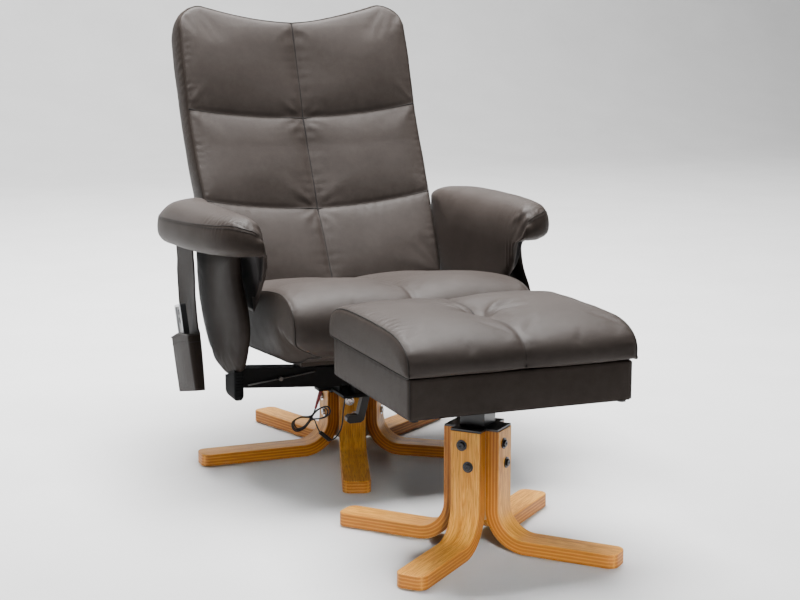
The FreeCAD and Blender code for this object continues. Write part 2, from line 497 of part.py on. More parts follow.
feature("stool_cap_plate", cp, Pl(V(SX, SY, 0), SR))
for label, a in zip(("stool_leg_front_left", "stool_leg_front_right", "stool_leg_rear_right", "stool_leg_rear_left"), S_TURNS):
    leg(label, hub, vals["stool_leg_reach"], vals["stool_leg_top"], (SX, SY), a, S_HOLES)
bolts("stool_bolts", hub, (SX, SY), S_TURNS, S_HOLES, vals["leg_thick"] + 4.5)
glides("stool_glides", vals["stool_leg_reach"], (SX, SY), S_TURNS)

bw, bd, bf0, br, wl = vals["box_wide"], vals["box_deep"], vals["box_floor"], vals["box_rim"], vals["box_wall"]
ob = Part.makeBox(bw, bd, br - bf0, V(-bw / 2, -bd / 2, bf0))
ob = ob.makeFillet(7.0, [e for e in ob.Edges if e.BoundBox.ZLength > 5])
ob = ob.cut(Part.makeBox(bw - 2 * wl, bd - 2 * wl, 200, V(wl - bw / 2, wl - bd / 2, bf0 + wl)))
feature("stool_box", ob, Pl(V(SX, SY, 0), Rot()))
feature("stool_box_feet", Part.makeCompound([Part.makeCylinder(8, 4, V(sx * (bw / 2 - 14), sy * (bd / 2 - 14), bf0 - 4)) for sx in (-1, 1) for sy in (-1, 1)]), Pl(V(SX, SY, 0), Rot()))
# piano hinge on the right-hand side: the barrel lies just outside the box under the lid's overhang
hx, hz = bw / 2 + 3.8, 377.0
fixed = Part.makeCylinder(3.2, 300, V(hx, -150, hz), V(0, 1, 0)).fuse(Part.makeBox(1.5, 300, 24, V(bw / 2, -150, hz - 24))).fuse(Part.makeBox(3.8, 300, 1.5, V(bw / 2, -150, hz - 0.75))).removeSplitter()
feature("stool_hinge", fixed, Pl(V(SX, SY, 0), Rot()))
lw, ld, l0, l1 = vals["lid_wide"], vals["lid_deep"], vals["lid_low"], vals["lid_high"]
lc = Part.makeBox(lw, ld, l1 - l0, V(-lw / 2, -ld / 2, l0))
lc = lc.makeFillet(16.0, [e for e in lc.Edges if e.BoundBox.ZLength > 5])
lc = lc.makeFillet(14.0, [e for e in lc.Edges if e.BoundBox.ZMin > l1 - 0.1])
lb = Part.makeBox(lw - 50, ld - 50, 12, V(25 - lw / 2, 25 - ld / 2, l0))
feature("stool_lid_cushion", lc.cut(lb), Pl(V(SX, SY, 0), Rot()))
feature("stool_lid_board", lb, Pl(V(SX, SY, 0), Rot()))

# ---------------------------------------------------------------- checks and export
doc.recompute()
bad = [o.Name for o in doc.Objects if "Invalid" in o.State or "Error" in o.State]
if bad:
    raise RuntimeError("failed objects: " + ", ".join(bad))
for o in parts:
    if o.Shape.isNull() or not o.Shape.isValid():
        raise RuntimeError("bad shape: " + o.Label)
names = [o.Label for o in parts]
if len(set(names)) != len(names):
    raise RuntimeError("two pieces share a name")
os.makedirs("parts", exist_ok=True)
for o in parts:
    o.Shape.exportStep(os.path.join("parts", o.Label + ".step"))
total = Part.makeCompound([o.Shape for o in parts if not o.Label.startswith("cord_")]).BoundBox
print(len(parts), "pieces; box X %.1f..%.1f Y %.1f..%.1f Z %.1f..%.1f" % (total.XMin, total.XMax, total.YMin, total.YMax, total.ZMin, total.ZMax))
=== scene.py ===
import math

import bmesh
import bpy
import numpy as np
from mathutils import Matrix, Vector, noise
from mathutils.bvhtree import BVHTree


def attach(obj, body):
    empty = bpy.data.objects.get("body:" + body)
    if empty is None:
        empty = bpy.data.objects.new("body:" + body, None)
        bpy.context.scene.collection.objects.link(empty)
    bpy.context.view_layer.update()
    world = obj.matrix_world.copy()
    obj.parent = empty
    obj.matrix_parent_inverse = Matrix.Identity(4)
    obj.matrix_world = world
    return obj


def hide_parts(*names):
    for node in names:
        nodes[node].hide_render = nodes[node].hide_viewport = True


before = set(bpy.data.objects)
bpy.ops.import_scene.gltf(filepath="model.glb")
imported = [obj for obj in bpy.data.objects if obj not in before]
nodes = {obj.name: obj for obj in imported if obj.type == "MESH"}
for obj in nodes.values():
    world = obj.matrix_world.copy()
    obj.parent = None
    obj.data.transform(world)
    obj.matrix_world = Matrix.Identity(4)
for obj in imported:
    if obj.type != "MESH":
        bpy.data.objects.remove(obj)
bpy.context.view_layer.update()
scene = bpy.context.scene

# the chair's swivel axis and the footstool's centre in the shared frame, millimetres
AX, AY = 4.0, 222.0
SX, SY = -3.5, -498.0
COS, SIN = 0.9238795, 0.3826834   # lean of the backrest, 22.5 degrees


def chair(x, y, z):
    return Vector(((x + AX) / 1000.0, (y + AY) / 1000.0, z / 1000.0))


# ------------------------------------------------------------------ camera
cam_data = bpy.data.cameras.new("camera")
cam_data.sensor_width = 36.0
cam_data.lens = 75.446
cam = bpy.data.objects.new("camera", cam_data)
scene.collection.objects.link(cam)
cam.location = (-1.257, -3.287, 1.030)
aim = Vector((0.1229, 0.222, 0.3403)) - cam.location
cam.rotation_mode = "QUATERNION"
cam.rotation_quaternion = aim.to_track_quat("-Z", "Y")
scene.camera = cam


# ------------------------------------------------------------------ materials
class Tree:
    """A small helper that adds and wires shader nodes."""

    def __init__(self, name):
        self.mat = bpy.data.materials.new(name)
        self.mat.use_nodes = True
        self.t = self.mat.node_tree
        self.bsdf = self.t.nodes["Principled BSDF"]
        self.coord = self.t.nodes.new("ShaderNodeTexCoord").outputs["Object"]

    def add(self, kind, **values):
        n = self.t.nodes.new("ShaderNode" + kind)
        for k, v in values.items():
            setattr(n, k, v)
        return n

    def link(self, a, b):
        self.t.links.new(a, b)

    def put(self, socket, value):
        if hasattr(value, "is_linked") or hasattr(value, "links"):
            self.link(value, socket)
        else:
            socket.default_value = value

    def math(self, op, a, b=None, c=None, clamp=False):
        n = self.add("Math", operation=op, use_clamp=clamp)
        for i, v in enumerate((a, b, c)):
            if v is not None:
                self.put(n.inputs[i], v)
        return n.outputs[0]

    def mapping(self, vector, scale=(1, 1, 1), rotation=(0, 0, 0), location=(0, 0, 0)):
        n = self.add("Mapping")
        self.put(n.inputs["Vector"], vector)
        n.inputs["Scale"].default_value = scale
        n.inputs["Rotation"].default_value = rotation
        n.inputs["Location"].default_value = location
        return n.outputs[0]

    def noise(self, vector, scale, detail=3.0, rough=0.55, distort=0.0):
        n = self.add("TexNoise")
        self.put(n.inputs["Vector"], vector)
        n.inputs["Scale"].default_value = scale
        n.inputs["Detail"].default_value = detail
        n.inputs["Roughness"].default_value = rough
        n.inputs["Distortion"].default_value = distort
        return n.outputs["Fac"]

    def voronoi(self, vector, scale, feature="DISTANCE_TO_EDGE"):
        n = self.add("TexVoronoi", feature=feature)
        self.put(n.inputs["Vector"], vector)
        n.inputs["Scale"].default_value = scale
        return n.outputs["Distance"]

    def ramp(self, fac, stops, interpolation="LINEAR"):
        n = self.add("ValToRGB")
        n.color_ramp.interpolation = interpolation
        e = n.color_ramp.elements
        e[0].position, e[0].color = stops[0][0], (*stops[0][1], 1)
        e[1].position, e[1].color = stops[-1][0], (*stops[-1][1], 1)
        for p, c in stops[1:-1]:
            x = e.new(p)
            x.color = (*c, 1)
        self.put(n.inputs["Fac"], fac)
        return n.outputs["Color"]

    def span(self, value, a, b, lo=0.0, hi=1.0):
        n = self.add("MapRange")
        n.clamp = True
        self.put(n.inputs["Value"], value)
        n.inputs["From Min"].default_value = a
        n.inputs["From Max"].default_value = b
        n.inputs["To Min"].default_value = lo
        n.inputs["To Max"].default_value = hi
        return n.outputs["Result"]

    def mix(self, fac, a, b, blend="MIX"):
        n = self.add("Mix", data_type="RGBA", blend_type=blend)
        self.put(n.inputs["Factor"], fac)
        self.put(n.inputs["A"], a)
        self.put(n.inputs["B"], b)
        return n.outputs["Result"]

    def bump(self, height, strength, distance, normal=None):
        n = self.add("Bump")
        n.inputs["Strength"].default_value = strength
        n.inputs["Distance"].default_value = distance
        self.put(n.inputs["Height"], height)
        if normal is not None:
            self.link(normal, n.inputs["Normal"])
        return n.outputs["Normal"]

    def out(self, **values):
        for k, v in values.items():
            self.put(self.bsdf.inputs[k.replace("_", " ")], v)
        return self.mat


def leather(name, dark, mid, light, rough=0.46, specular=0.165):
    t = Tree(name)
    cloud = t.noise(t.coord, 7.0, 4.0, 0.6)
    fine = t.noise(t.coord, 60.0, 3.0, 0.6)
    tone = t.math("MULTIPLY_ADD", fine, 0.35, t.math("MULTIPLY", cloud, 0.65))
    colour = t.ramp(tone, [(0.30, dark), (0.50, mid), (0.72, light)])
    # pebble grain: large soft cells broken by fine creases
    warp = t.noise(t.coord, 320.0, 2.0, 0.5)
    moved = t.add("VectorMath", operation="SCALE")
    t.link(t.coord, moved.inputs[0])
    moved.inputs["Scale"].default_value = 1.0
    bent = t.add("VectorMath", operation="ADD")
    t.link(moved.outputs[0], bent.inputs[0])
    shift = t.math("MULTIPLY", warp, 0.0011)
    both = t.add("CombineXYZ")
    for i in range(3):
        t.link(shift, both.inputs[i])
    t.link(both.outputs[0], bent.inputs[1])
    cells = t.voronoi(bent.outputs[0], 620.0)
    small = t.voronoi(bent.outputs[0], 1250.0)
    crease = t.math("MINIMUM", t.span(cells, 0.0, 0.22), t.span(small, 0.0, 0.30, 0.45, 1.0))
    height = t.math("MULTIPLY_ADD", t.noise(t.coord, 900.0, 2.0, 0.6), 0.3, crease)
    colour = t.mix(t.span(crease, 0.0, 0.7, 0.30, 0.0), colour, (*[c * 0.45 for c in mid], 1))
    t.out(Base_Color=colour,
          Roughness=t.math("MULTIPLY_ADD", cloud, 0.16, t.math("MULTIPLY_ADD", crease, -0.05, rough - 0.03)),
          Normal=t.bump(height, 0.32, 0.0005))
    t.bsdf.inputs["Specular IOR Level"].default_value = specular
    return t.mat


def metal(name, base, rough, metallic, scratch=0.10, grain=260.0, bump=0.10, coat=0.0, specular=0.5):
    t = Tree(name)
    cloud = t.noise(t.coord, 28.0, 4.0, 0.6)
    fine = t.noise(t.coord, grain, 3.0, 0.65)
    colour = t.ramp(cloud, [(0.3, [c * 0.82 for c in base]), (0.7, [min(1, c * 1.14) for c in base])])
    t.out(Base_Color=colour,
          Roughness=t.math("MULTIPLY_ADD", fine, scratch, rough - scratch / 2),
          Normal=t.bump(fine, bump, 0.0003))
    t.bsdf.inputs["Metallic"].default_value = metallic
    t.bsdf.inputs["Specular IOR Level"].default_value = specular
    t.bsdf.inputs["Coat Weight"].default_value = coat
    return t.mat


def plastic(name, base, rough, grain=900.0, bump=0.12, specular=0.45):
    t = Tree(name)
    cloud = t.noise(t.coord, 22.0, 3.0, 0.6)
    pits = t.noise(t.coord, grain, 2.0, 0.6)
    colour = t.ramp(cloud, [(0.3, [c * 0.84 for c in base]), (0.7, [c * 1.12 for c in base])])
    t.out(Base_Color=colour, Roughness=t.math("MULTIPLY_ADD", pits, 0.14, rough - 0.07),
          Normal=t.bump(pits, bump, 0.0003))
    t.bsdf.inputs["Specular IOR Level"].default_value = specular
    return t.mat


def ply(name, centre, turn, reach_in, top, seed):
    """Bent oak plywood. In the leg's own plane (r outwards, z up) the layers follow the bend, the grain runs along the leg."""
    t = Tree(name)
    local = t.mapping(t.mapping(t.coord, location=(-centre[0], -centre[1], 0)), rotation=(0, 0, -math.radians(turn)))
    s = t.add("SeparateXYZ")
    t.link(local, s.inputs[0])
    r, w, z = s.outputs[0], s.outputs[1], s.outputs[2]
    rc, zc = reach_in
    dr = t.math("MAXIMUM", t.math("SUBTRACT", rc, r), 0.0)
    dz = t.math("MAXIMUM", t.math("SUBTRACT", zc, z), 0.0)
    depth = t.math("SQRT", t.math("ADD", t.math("MULTIPLY", dr, dr), t.math("MULTIPLY", dz, dz)))
    along = t.math("SUBTRACT", r, z)
    # face veneer: cathedral figure, pores and fine rays
    flow = t.add("CombineXYZ")
    t.link(t.math("MULTIPLY", along, 3.0), flow.inputs[0])
    t.link(t.math("MULTIPLY", w, 62.0), flow.inputs[1])
    t.link(t.math("MULTIPLY_ADD", depth, 9.0, seed), flow.inputs[2])
    figure = t.noise(flow.outputs[0], 1.0, 4.0, 0.62, 0.8)
    bands = t.math("FRACT", t.math("MULTIPLY_ADD", figure, 7.0, t.math("MULTIPLY", w, 70.0)))
    bands = t.math("ABSOLUTE", t.math("SUBTRACT", bands, 0.5))
    pore = t.add("CombineXYZ")
    t.link(t.math("MULTIPLY", along, 26.0), pore.inputs[0])
    t.link(t.math("MULTIPLY", w, 760.0), pore.inputs[1])
    t.link(t.math("MULTIPLY_ADD", depth, 300.0, seed), pore.inputs[2])
    pores = t.noise(pore.outputs[0], 1.0, 3.0, 0.6)
    tone = t.math("MULTIPLY_ADD", bands, 0.55, t.math("MULTIPLY", figure, 0.75))
    face = t.ramp(tone, [(0.18, (0.340, 0.114, 0.011)), (0.40, (0.600, 0.246, 0.030)), (0.62, (0.780, 0.370, 0.058)), (0.85, (0.860, 0.450, 0.088))])
    face = t.mix(t.span(pores, 0.52, 0.68, 0.0, 0.72), face, (0.22, 0.076, 0.012, 1))
    # cut edge: stacked layers with dark glue lines
    layer = t.math("MULTIPLY", t.math("SUBTRACT", depth, top), 1.0 / 0.00325)
    wave = t.math("MULTIPLY_ADD", t.noise(flow.outputs[0], 2.0, 3.0, 0.6), 0.55, layer)
    cut = t.math("FRACT", wave)
    odd = t.math("FRACT", t.math("MULTIPLY", t.math("FLOOR", wave), 0.5))
    edge = t.mix(t.math("MULTIPLY", odd, 1.7), (0.540, 0.208, 0.030, 1), (0.320, 0.106, 0.012, 1))
    glue = t.math("MAXIMUM", t.span(cut, 0.88, 0.98), t.span(cut, 0.12, 0.02))
    edge = t.mix(t.math("MULTIPLY", glue, 0.45), edge, (0.150, 0.048, 0.008, 1))
    edge = t.mix(t.span(pores, 0.50, 0.72, 0.0, 0.45), edge, (0.20, 0.068, 0.012, 1))
    # which side of the leg a point is on, from its own normal
    n = t.add("TexCoord").outputs["Normal"]
    turned = t.add("VectorRotate", rotation_type="Z_AXIS")
    t.link(n, turned.inputs["Vector"])
    turned.inputs["Angle"].default_value = -math.radians(turn)
    ns = t.add("SeparateXYZ")
    t.link(turned.outputs[0], ns.inputs[0])
    side = t.span(t.math("ABSOLUTE", ns.outputs[1]), 0.55, 0.80)
    tip = t.math("MULTIPLY", t.span(ns.outputs[0], 0.70, 0.90), t.span(r, rc + 0.10, rc + 0.12))
    head = t.math("MULTIPLY", t.span(ns.outputs[2], 0.80, 0.95), t.span(z, zc + 0.02, zc + 0.03))
    mask = t.math("MAXIMUM", side, t.math("MAXIMUM", tip, head))
    colour = t.mix(mask, face, edge)
    rough = t.math("MULTIPLY_ADD", pores, 0.18, 0.34)
    height = t.math("MULTIPLY_ADD", glue, t.math("MULTIPLY", mask, -0.8), t.math("MULTIPLY", pores, -0.5))
    t.out(Base_Color=colour, Roughness=rough, Normal=t.bump(height, 0.25, 0.0004))
    t.bsdf.inputs["Coat Weight"].default_value = 0.05
    t.bsdf.inputs["Specular IOR Level"].default_value = 0.20
    t.bsdf.inputs["Coat Roughness"].default_value = 0.22
    return t.mat


HIDE = leather("taupe_leather", (0.0340, 0.0262, 0.0222), (0.0445, 0.0352, 0.0306), (0.0560, 0.0452, 0.0398))
# darker copy of the taupe leather for side bands, boxed ends, welts and the stool box's sides: painted shade on faces
# turned from the top light, the same leather in reality
HIDE_BAND_PAINTED_SHADE = leather("taupe_leather_band_painted_shade", (0.0300, 0.0228, 0.0190), (0.0390, 0.0304, 0.0258), (0.0490, 0.0392, 0.0336), 0.46, 0.07)
# a much darker copy of the taupe leather for the arm posts and the side pocket: painted shade for these parts in the
# arms' shadow, the same leather in reality
HIDE_PAINTED_SHADE = leather("taupe_leather_painted_shade", (0.0162, 0.0120, 0.0098), (0.0211, 0.0160, 0.0133), (0.0265, 0.0208, 0.0175), 0.50, 0.05)
# near-black leather: the lining inside the stool box, and on the far part of each arm pad's underside painted shade for
# the dark hollow under the arm
LINING_AND_SHADE = leather("dark_lining_and_painted_shade", (0.010, 0.009, 0.009), (0.016, 0.014, 0.014), (0.024, 0.021, 0.020), 0.75)
# dark thread: the fine stitch rows, and the thick seam tubes that also draw the seams' grooves as painted shade
THREAD_AND_SEAM_SHADE = plastic("seam_thread_and_painted_shade", (0.013, 0.010, 0.009), 0.75, 1400.0, 0.3, 0.25)
PIPING = leather("seam_edge", (0.013, 0.010, 0.009), (0.020, 0.016, 0.014), (0.028, 0.023, 0.020), 0.50)
STEEL = metal("black_powder_coat", (0.0045, 0.0043, 0.0043), 0.58, 0.0, 0.14, 700.0, 0.25, 0.0, 0.09)
STEEL_SATIN = metal("satin_black_steel", (0.014, 0.014, 0.015), 0.34, 0.0, 0.12, 420.0, 0.15)
ZINC = metal("bright_zinc", (0.62, 0.63, 0.65), 0.24, 1.0, 0.14, 360.0, 0.10)
CABLE = metal("cable_steel", (0.130, 0.128, 0.126), 0.42, 1.0, 0.14, 360.0, 0.10)
BLACK_BOLT = metal("blackened_bolt", (0.030, 0.030, 0.033), 0.34, 0.65, 0.16, 420.0, 0.12)
BLACK_PLASTIC = plastic("black_plastic", (0.013, 0.013, 0.014), 0.36)
GREY_PLASTIC = plastic("dark_grey_plastic", (0.0060, 0.0061, 0.0064), 0.68, 900.0, 0.12, 0.06)
SILVER = plastic("silver_plastic", (0.62, 0.63, 0.65), 0.30, 700.0, 0.08, 0.6)
BUTTON = plastic("button_plastic", (0.055, 0.055, 0.060), 0.55)
RUBBER = plastic("glide_rubber", (0.020, 0.020, 0.021), 0.72, 500.0, 0.2, 0.3)
CORD = plastic("cord_jacket", (0.008, 0.008, 0.009), 0.40, 1200.0, 0.10, 0.5)
RED = plastic("red_sleeve", (0.180, 0.008, 0.012), 0.34, 900.0, 0.10, 0.5)
# near-black finish for the seat, back and lid boards: painted shade, so that where a board shows under its cushion it
# reads as the shaded underside
BOARD_PAINTED_SHADE = plastic("board_painted_shade", (0.030, 0.022, 0.017), 0.70, 160.0, 0.25, 0.2)
BOARD = plastic("board_wood", (0.36, 0.25, 0.14), 0.62, 160.0, 0.25, 0.3)


# ------------------------------------------------------------------ mesh helpers
def make(name, verts, faces, mats, body, mm=True, smooth=True, merge=0.0):
    """One mesh piece from points in millimetres in the shared frame, riding on a body."""
    mesh = bpy.data.meshes.new(name)
    v = np.asarray(verts, float)
    mesh.from_pydata((v / 1000.0 if mm else v).tolist(), [], [list(f) for f in faces])
    mesh.update()
    bm = bmesh.new()
    bm.from_mesh(mesh)
    if merge:
        bmesh.ops.remove_doubles(bm, verts=bm.verts, dist=merge / 1000.0)
        bmesh.ops.dissolve_degenerate(bm, edges=bm.edges, dist=1e-6)
    bmesh.ops.recalc_face_normals(bm, faces=bm.faces)
    bm.to_mesh(mesh)
    bm.free()
    for m in (mats if isinstance(mats, (list, tuple)) else [mats]):
        mesh.materials.append(m)
    if smooth:
        mesh.polygons.foreach_set("use_smooth", [True] * len(mesh.polygons))
    o = bpy.data.objects.new(name, mesh)
    scene.collection.objects.link(o)
    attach(o, body)
    return o


def curve(name, points, radius, mat, body, cyclic=False, resolution=6, kind="NURBS"):
    """A round cord, thread or wire through control points given in metres."""
    data = bpy.data.curves.new(name, "CURVE")
    data.dimensions = "3D"
    s = data.splines.new(kind)
    s.points.add(len(points) - 1)
    for p, q in zip(s.points, points):
        p.co = (*q, 1.0)
    if kind == "NURBS":
        s.order_u = 3
        s.use_endpoint_u = not cyclic
    s.use_cyclic_u = cyclic
    s.resolution_u = resolution
    data.bevel_depth = radius
    data.bevel_resolution = 3
    data.use_fill_caps = True
    data.materials.append(mat)
    o = bpy.data.objects.new(name, data)
    scene.collection.objects.link(o)
    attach(o, body)
    return o


# ------------------------------------------------------------------ cords
# the lead: out of the red sleeve, down to the tie, round the loose bow of turns, then on to the inline connector
LEAD = [(-120.5, -100, 131), (-123.5, -101, 124), (-126.6, -102.6, 117.5)]
TAIL = [(-126, -96.4, 108.2), (-121.5, -97.0, 104.0), (-119.5, -98.0, 97.0), (-117.0, -99.0, 89.0), (-114.0, -99.6, 82.0), (-111, -100, 76)]
RETURN = [(-87, -100, 55), (-78, -99, 55.5), (-69, -98, 63), (-61.5, -97, 74), (-57, -96, 88), (-55.5, -95, 102), (-54, -95, 118), (-51.5, -96, 135),
          (-51, -98, 153), (-53, -99, 171)]
TIE = (-131.0, -100.0, 110.0)
LOBE = [(0.20, 0.50), (0.44, 0.92), (0.70, 1.00), (0.92, 0.78), (1.00, 0.0), (0.92, -0.78), (0.70, -1.00), (0.44, -0.92), (0.20, -0.50)]


def lobe(axis, length, width, y0, y1, out, over=1.0, lift=0.0):
    """Points of one loop of the bow, from the upper strand at the tie round the end to the lower one (over=1), or the other way."""
    ax, az = axis
    pts = []
    n = len(LOBE)
    for i, (s, f) in enumerate(LOBE):
        k = (i + 1) / (n + 1)
        y = y0 + (y1 - y0) * k + out * math.sin(math.pi * k)
        f = f * over * width + lift * math.sin(math.pi * k)
        pts.append((TIE[0] + ax * s * length - abs(az) * math.copysign(1, ax) * 0 - az * f * math.copysign(1, ax), TIE[1] + y,
                    TIE[2] + az * s * length + abs(ax) * f))
    return pts


LEFT, RIGHT = (-0.934, -0.358), (0.940, 0.340)
turns = list(LEAD)
for k, (ll, lw, rl, rw) in enumerate([(49.0, 14.6, 47.0, 11.8), (45.0, 13.0, 42.0, 11.4), (40.0, 12.4, 0, 0)]):
    y = (k - 1) * 3.9
    turns.append((TIE[0] + 0.9, TIE[1] + y, TIE[2] + 2.1))
    turns += lobe(LEFT, ll, lw, y, y, (k - 1) * 2.2, 1.0, (1 - k) * 1.2)
    turns.append((TIE[0] - 0.9, TIE[1] + y, TIE[2] - 2.1))
    if rl:
        turns += lobe(RIGHT, rl, rw, y, y + 3.9, (k - 0.5) * 2.4, -1.0, (0.5 - k) * 2.0)
turns += TAIL
lead = curve("supply_lead", [chair(*p) for p in turns], 0.0016, CORD, "chair_frame", resolution=10)
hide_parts("cord_wire", "cord_hank")
back_lead = curve("return_lead", [chair(*p) for p in RETURN], 0.0016, CORD, "chair_frame", resolution=10)
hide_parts("cord_return")


# the tie: a short twist of the same wire round the middle of the bow
twist = []
for k in range(19):
    a = 2 * math.pi * k / 9.0
    lift = -2.4 + 4.8 * k / 18.0
    twist.append(chair(TIE[0] + 0.94 * lift - 0.34 * 5.9 * math.cos(a), TIE[1] + 7.6 * math.sin(a), TIE[2] + 0.34 * lift + 0.94 * 5.9 * math.cos(a)))
tie = curve("hank_tie", twist, 0.0010, CORD, "chair_frame", resolution=6)


# ------------------------------------------------------------------ floor, light
def area(name, where, target, size, power, colour=(1, 1, 1), spread=180.0):
    d = bpy.data.lights.new(name, "AREA")
    d.shape, d.size, d.size_y = "RECTANGLE", size[0], size[1]
    d.energy, d.color = power, colour
    d.spread = math.radians(spread)
    o = bpy.data.objects.new(name, d)
    scene.collection.objects.link(o)
    o.location = where
    o.rotation_mode = "QUATERNION"
    o.rotation_quaternion = (Vector(target) - Vector(where)).to_track_quat("-Z", "Y")
    return o


ft = Tree("pale_floor")
ft.out(Base_Color=ft.ramp(ft.noise(ft.coord, 3.0, 3.0), [(0.3, (0.66, 0.66, 0.66)), (0.7, (0.70, 0.70, 0.70))]),
       Roughness=ft.span(ft.noise(ft.coord, 40.0), 0.3, 0.7, 0.72, 0.80))
fm = bpy.data.meshes.new("floor")
sweep = [(-4.0 - 10, 0.0)] + [(6.0 + 3.0 * math.sin(a), 3.0 - 3.0 * math.cos(a)) for a in np.linspace(0, math.pi / 2, 13)] + [(9.0, 9.0)]
fm.from_pydata([(x, y, z - 0.0004) for y, z in sweep for x in (-16.0, 16.0)], [], [(2 * k, 2 * k + 1, 2 * k + 3, 2 * k + 2) for k in range(len(sweep) - 1)])
fm.polygons.foreach_set("use_smooth", [True] * len(fm.polygons))
fm.materials.append(ft.mat)
floor = bpy.data.objects.new("floor", fm)
scene.collection.objects.link(floor)
world = bpy.data.worlds.new("studio")
scene.world = world
world.use_nodes = True
world.node_tree.nodes["Background"].inputs["Color"].default_value = (1, 1, 1, 1)
world.node_tree.nodes["Background"].inputs["Strength"].default_value = 0.06
area("overhead", (0.0, 0.74, 3.7), (0.0, 0.16, 0.4), (2.4, 2.4), 625)
area("left_soft", (-3.0, -0.8, 3.2), (0, 0, 0.3), (1.8, 2.4), 5)
area("front_soft", (0.6, -4.6, 2.6), (0, 0, 0.5), (3.0, 1.6), 12)
area("stool_feet_grid", (-0.35, -3.0, 0.95), (0.0, -0.60, 0.03), (0.75, 0.14), 0.75, (1, 1, 1), 8.0)
area("base_legs_grid", (-2.6, -1.5, 1.0), (-0.26, 0.18, 0.0), (0.55, 0.10), 0.20, (1, 1, 1), 6.0)
area("backdrop_wash", (0.0, 2.6, 4.6), (0.0, 7.5, 1.2), (8.0, 2.0), 900)

# ------------------------------------------------------------------ soft goods: shared shapes
def dense(points, closed=True, steps=24):
    """A smooth line through the points (Catmull-Rom)."""
    p = np.asarray(points, float)
    m = len(p)
    out = []
    for i in range(m if closed else m - 1):
        if closed:
            a, b, c, d = p[i - 1], p[i], p[(i + 1) % m], p[(i + 2) % m]
        else:
            a, b, c, d = p[max(i - 1, 0)], p[i], p[i + 1], p[min(i + 2, m - 1)]
        for t in np.linspace(0, 1, steps, endpoint=False):
            out.append(0.5 * (2 * b + (c - a) * t + (2 * a - 5 * b + 4 * c - d) * t * t + (3 * b - a - 3 * c + d) * t ** 3))
    if not closed:
        out.append(p[-1])
    return np.array(out)


def evenly(line, n):
    """n+1 points evenly spaced along an open line."""
    d = np.concatenate([[0], np.cumsum(np.linalg.norm(np.diff(line, axis=0), axis=1))])
    at = np.linspace(0, d[-1], n + 1)
    return np.stack([np.interp(at, d, line[:, k]) for k in range(line.shape[1])], 1)


def four_sides(points, corners, n1, n2, closed=True):
    """Splits a smooth outline at four corners into chains of n1, n2, n1, n2 spans."""
    line = dense(points, closed)
    at = [int(np.argmin(np.linalg.norm(line - np.asarray(c, float), axis=1))) for c in corners]
    chains = []
    for k, n in enumerate((n1, n2, n1, n2)):
        i, j = at[k], at[(k + 1) % 4]
        run = line[i:j + 1] if j > i else np.concatenate([line[i:], line[:j + 1]])
        chains.append(evenly(run, n))
    return chains


def patch(chains):
    """A grid inside four chains (Coons). Returns [n1+1, n2+1, 2]."""
    c0, c1, c2, c3 = chains
    n1, n2 = len(c0) - 1, len(c1) - 1
    s = np.linspace(0, 1, n1 + 1)[:, None, None]
    t = np.linspace(0, 1, n2 + 1)[None, :, None]
    bottom, top = c0[:, None, :], c2[::-1][:, None, :]
    left, right = c3[::-1][None, :, :], c1[None, :, :]
    corner = (1 - s) * (1 - t) * c0[0] + s * (1 - t) * c0[-1] + (1 - s) * t * c2[-1] + s * t * c2[0]
    return (1 - t) * bottom + t * top + (1 - s) * left + s * right - corner


def border(n1, n2):
    """Grid indices once round the rim."""
    return ([(i, 0) for i in range(n1)] + [(n1, j) for j in range(n2)] + [(i, n2) for i in range(n1, 0, -1)] + [(0, j) for j in range(n2, 0, -1)])


def rim_facts(grid2):
    """For every grid point: distance to the rim and the rim's arc length at the nearest rim point."""
    n1, n2 = grid2.shape[0] - 1, grid2.shape[1] - 1
    rim = np.array([grid2[i, j] for i, j in border(n1, n2)])
    arc = np.concatenate([[0], np.cumsum(np.linalg.norm(np.diff(np.vstack([rim, rim[:1]]), axis=0), axis=1))])[:-1]
    flat = grid2.reshape(-1, grid2.shape[2])
    dist, near = np.empty(len(flat)), np.empty(len(flat), int)
    for k in range(0, len(flat), 2000):
        d = np.linalg.norm(flat[k:k + 2000, None, :] - rim[None], axis=2)
        near[k:k + 2000] = d.argmin(1)
        dist[k:k + 2000] = d.min(1)
    return dist.reshape(n1 + 1, n2 + 1), arc[near].reshape(n1 + 1, n2 + 1)


class Pad:
    """A closed sewn form: one panel grid, a second panel grid of the same counts, and a band of rings that joins their rims."""

    def __init__(self, first, second, rings, ring_points):
        n1, n2 = first.shape[0] - 1, first.shape[1] - 1
        self.n1, self.n2, self.rings = n1, n2, rings
        self.rim = border(n1, n2)
        size = (n1 + 1) * (n2 + 1)
        k = len(self.rim)
        self.count = k
        verts = [first.reshape(-1, 3), second.reshape(-1, 3)]
        for r in range(1, rings):
            verts.append(ring_points(r / rings))
        self.v = np.vstack(verts)
        self.kind = np.concatenate([np.zeros(size, int), np.full(size, 2, int), np.ones(k * (rings - 1), int)])
        self.size = size
        faces, kinds = [], []
        g = lambda i, j: i * (n2 + 1) + j
        for i in range(n1):
            for j in range(n2):
                faces.append((g(i, j), g(i + 1, j), g(i + 1, j + 1), g(i, j + 1)))
                kinds.append(0)
                faces.append((size + g(i, j), size + g(i, j + 1), size + g(i + 1, j + 1), size + g(i + 1, j)))
                kinds.append(2)
        rows = [[g(*ij) for ij in self.rim]] + [[2 * size + r * k + b for b in range(k)] for r in range(rings - 1)] + [[size + g(*ij) for ij in self.rim]]
        self.rows = rows
        for a, b in zip(rows, rows[1:]):
            for q in range(k):
                faces.append((a[q], b[q], b[(q + 1) % k], a[(q + 1) % k]))
                kinds.append(1)
        self.faces, self.face_kind = faces, kinds

    def panel(self, which=0):
        return np.arange(self.size).reshape(self.n1 + 1, self.n2 + 1) + (self.size if which else 0)


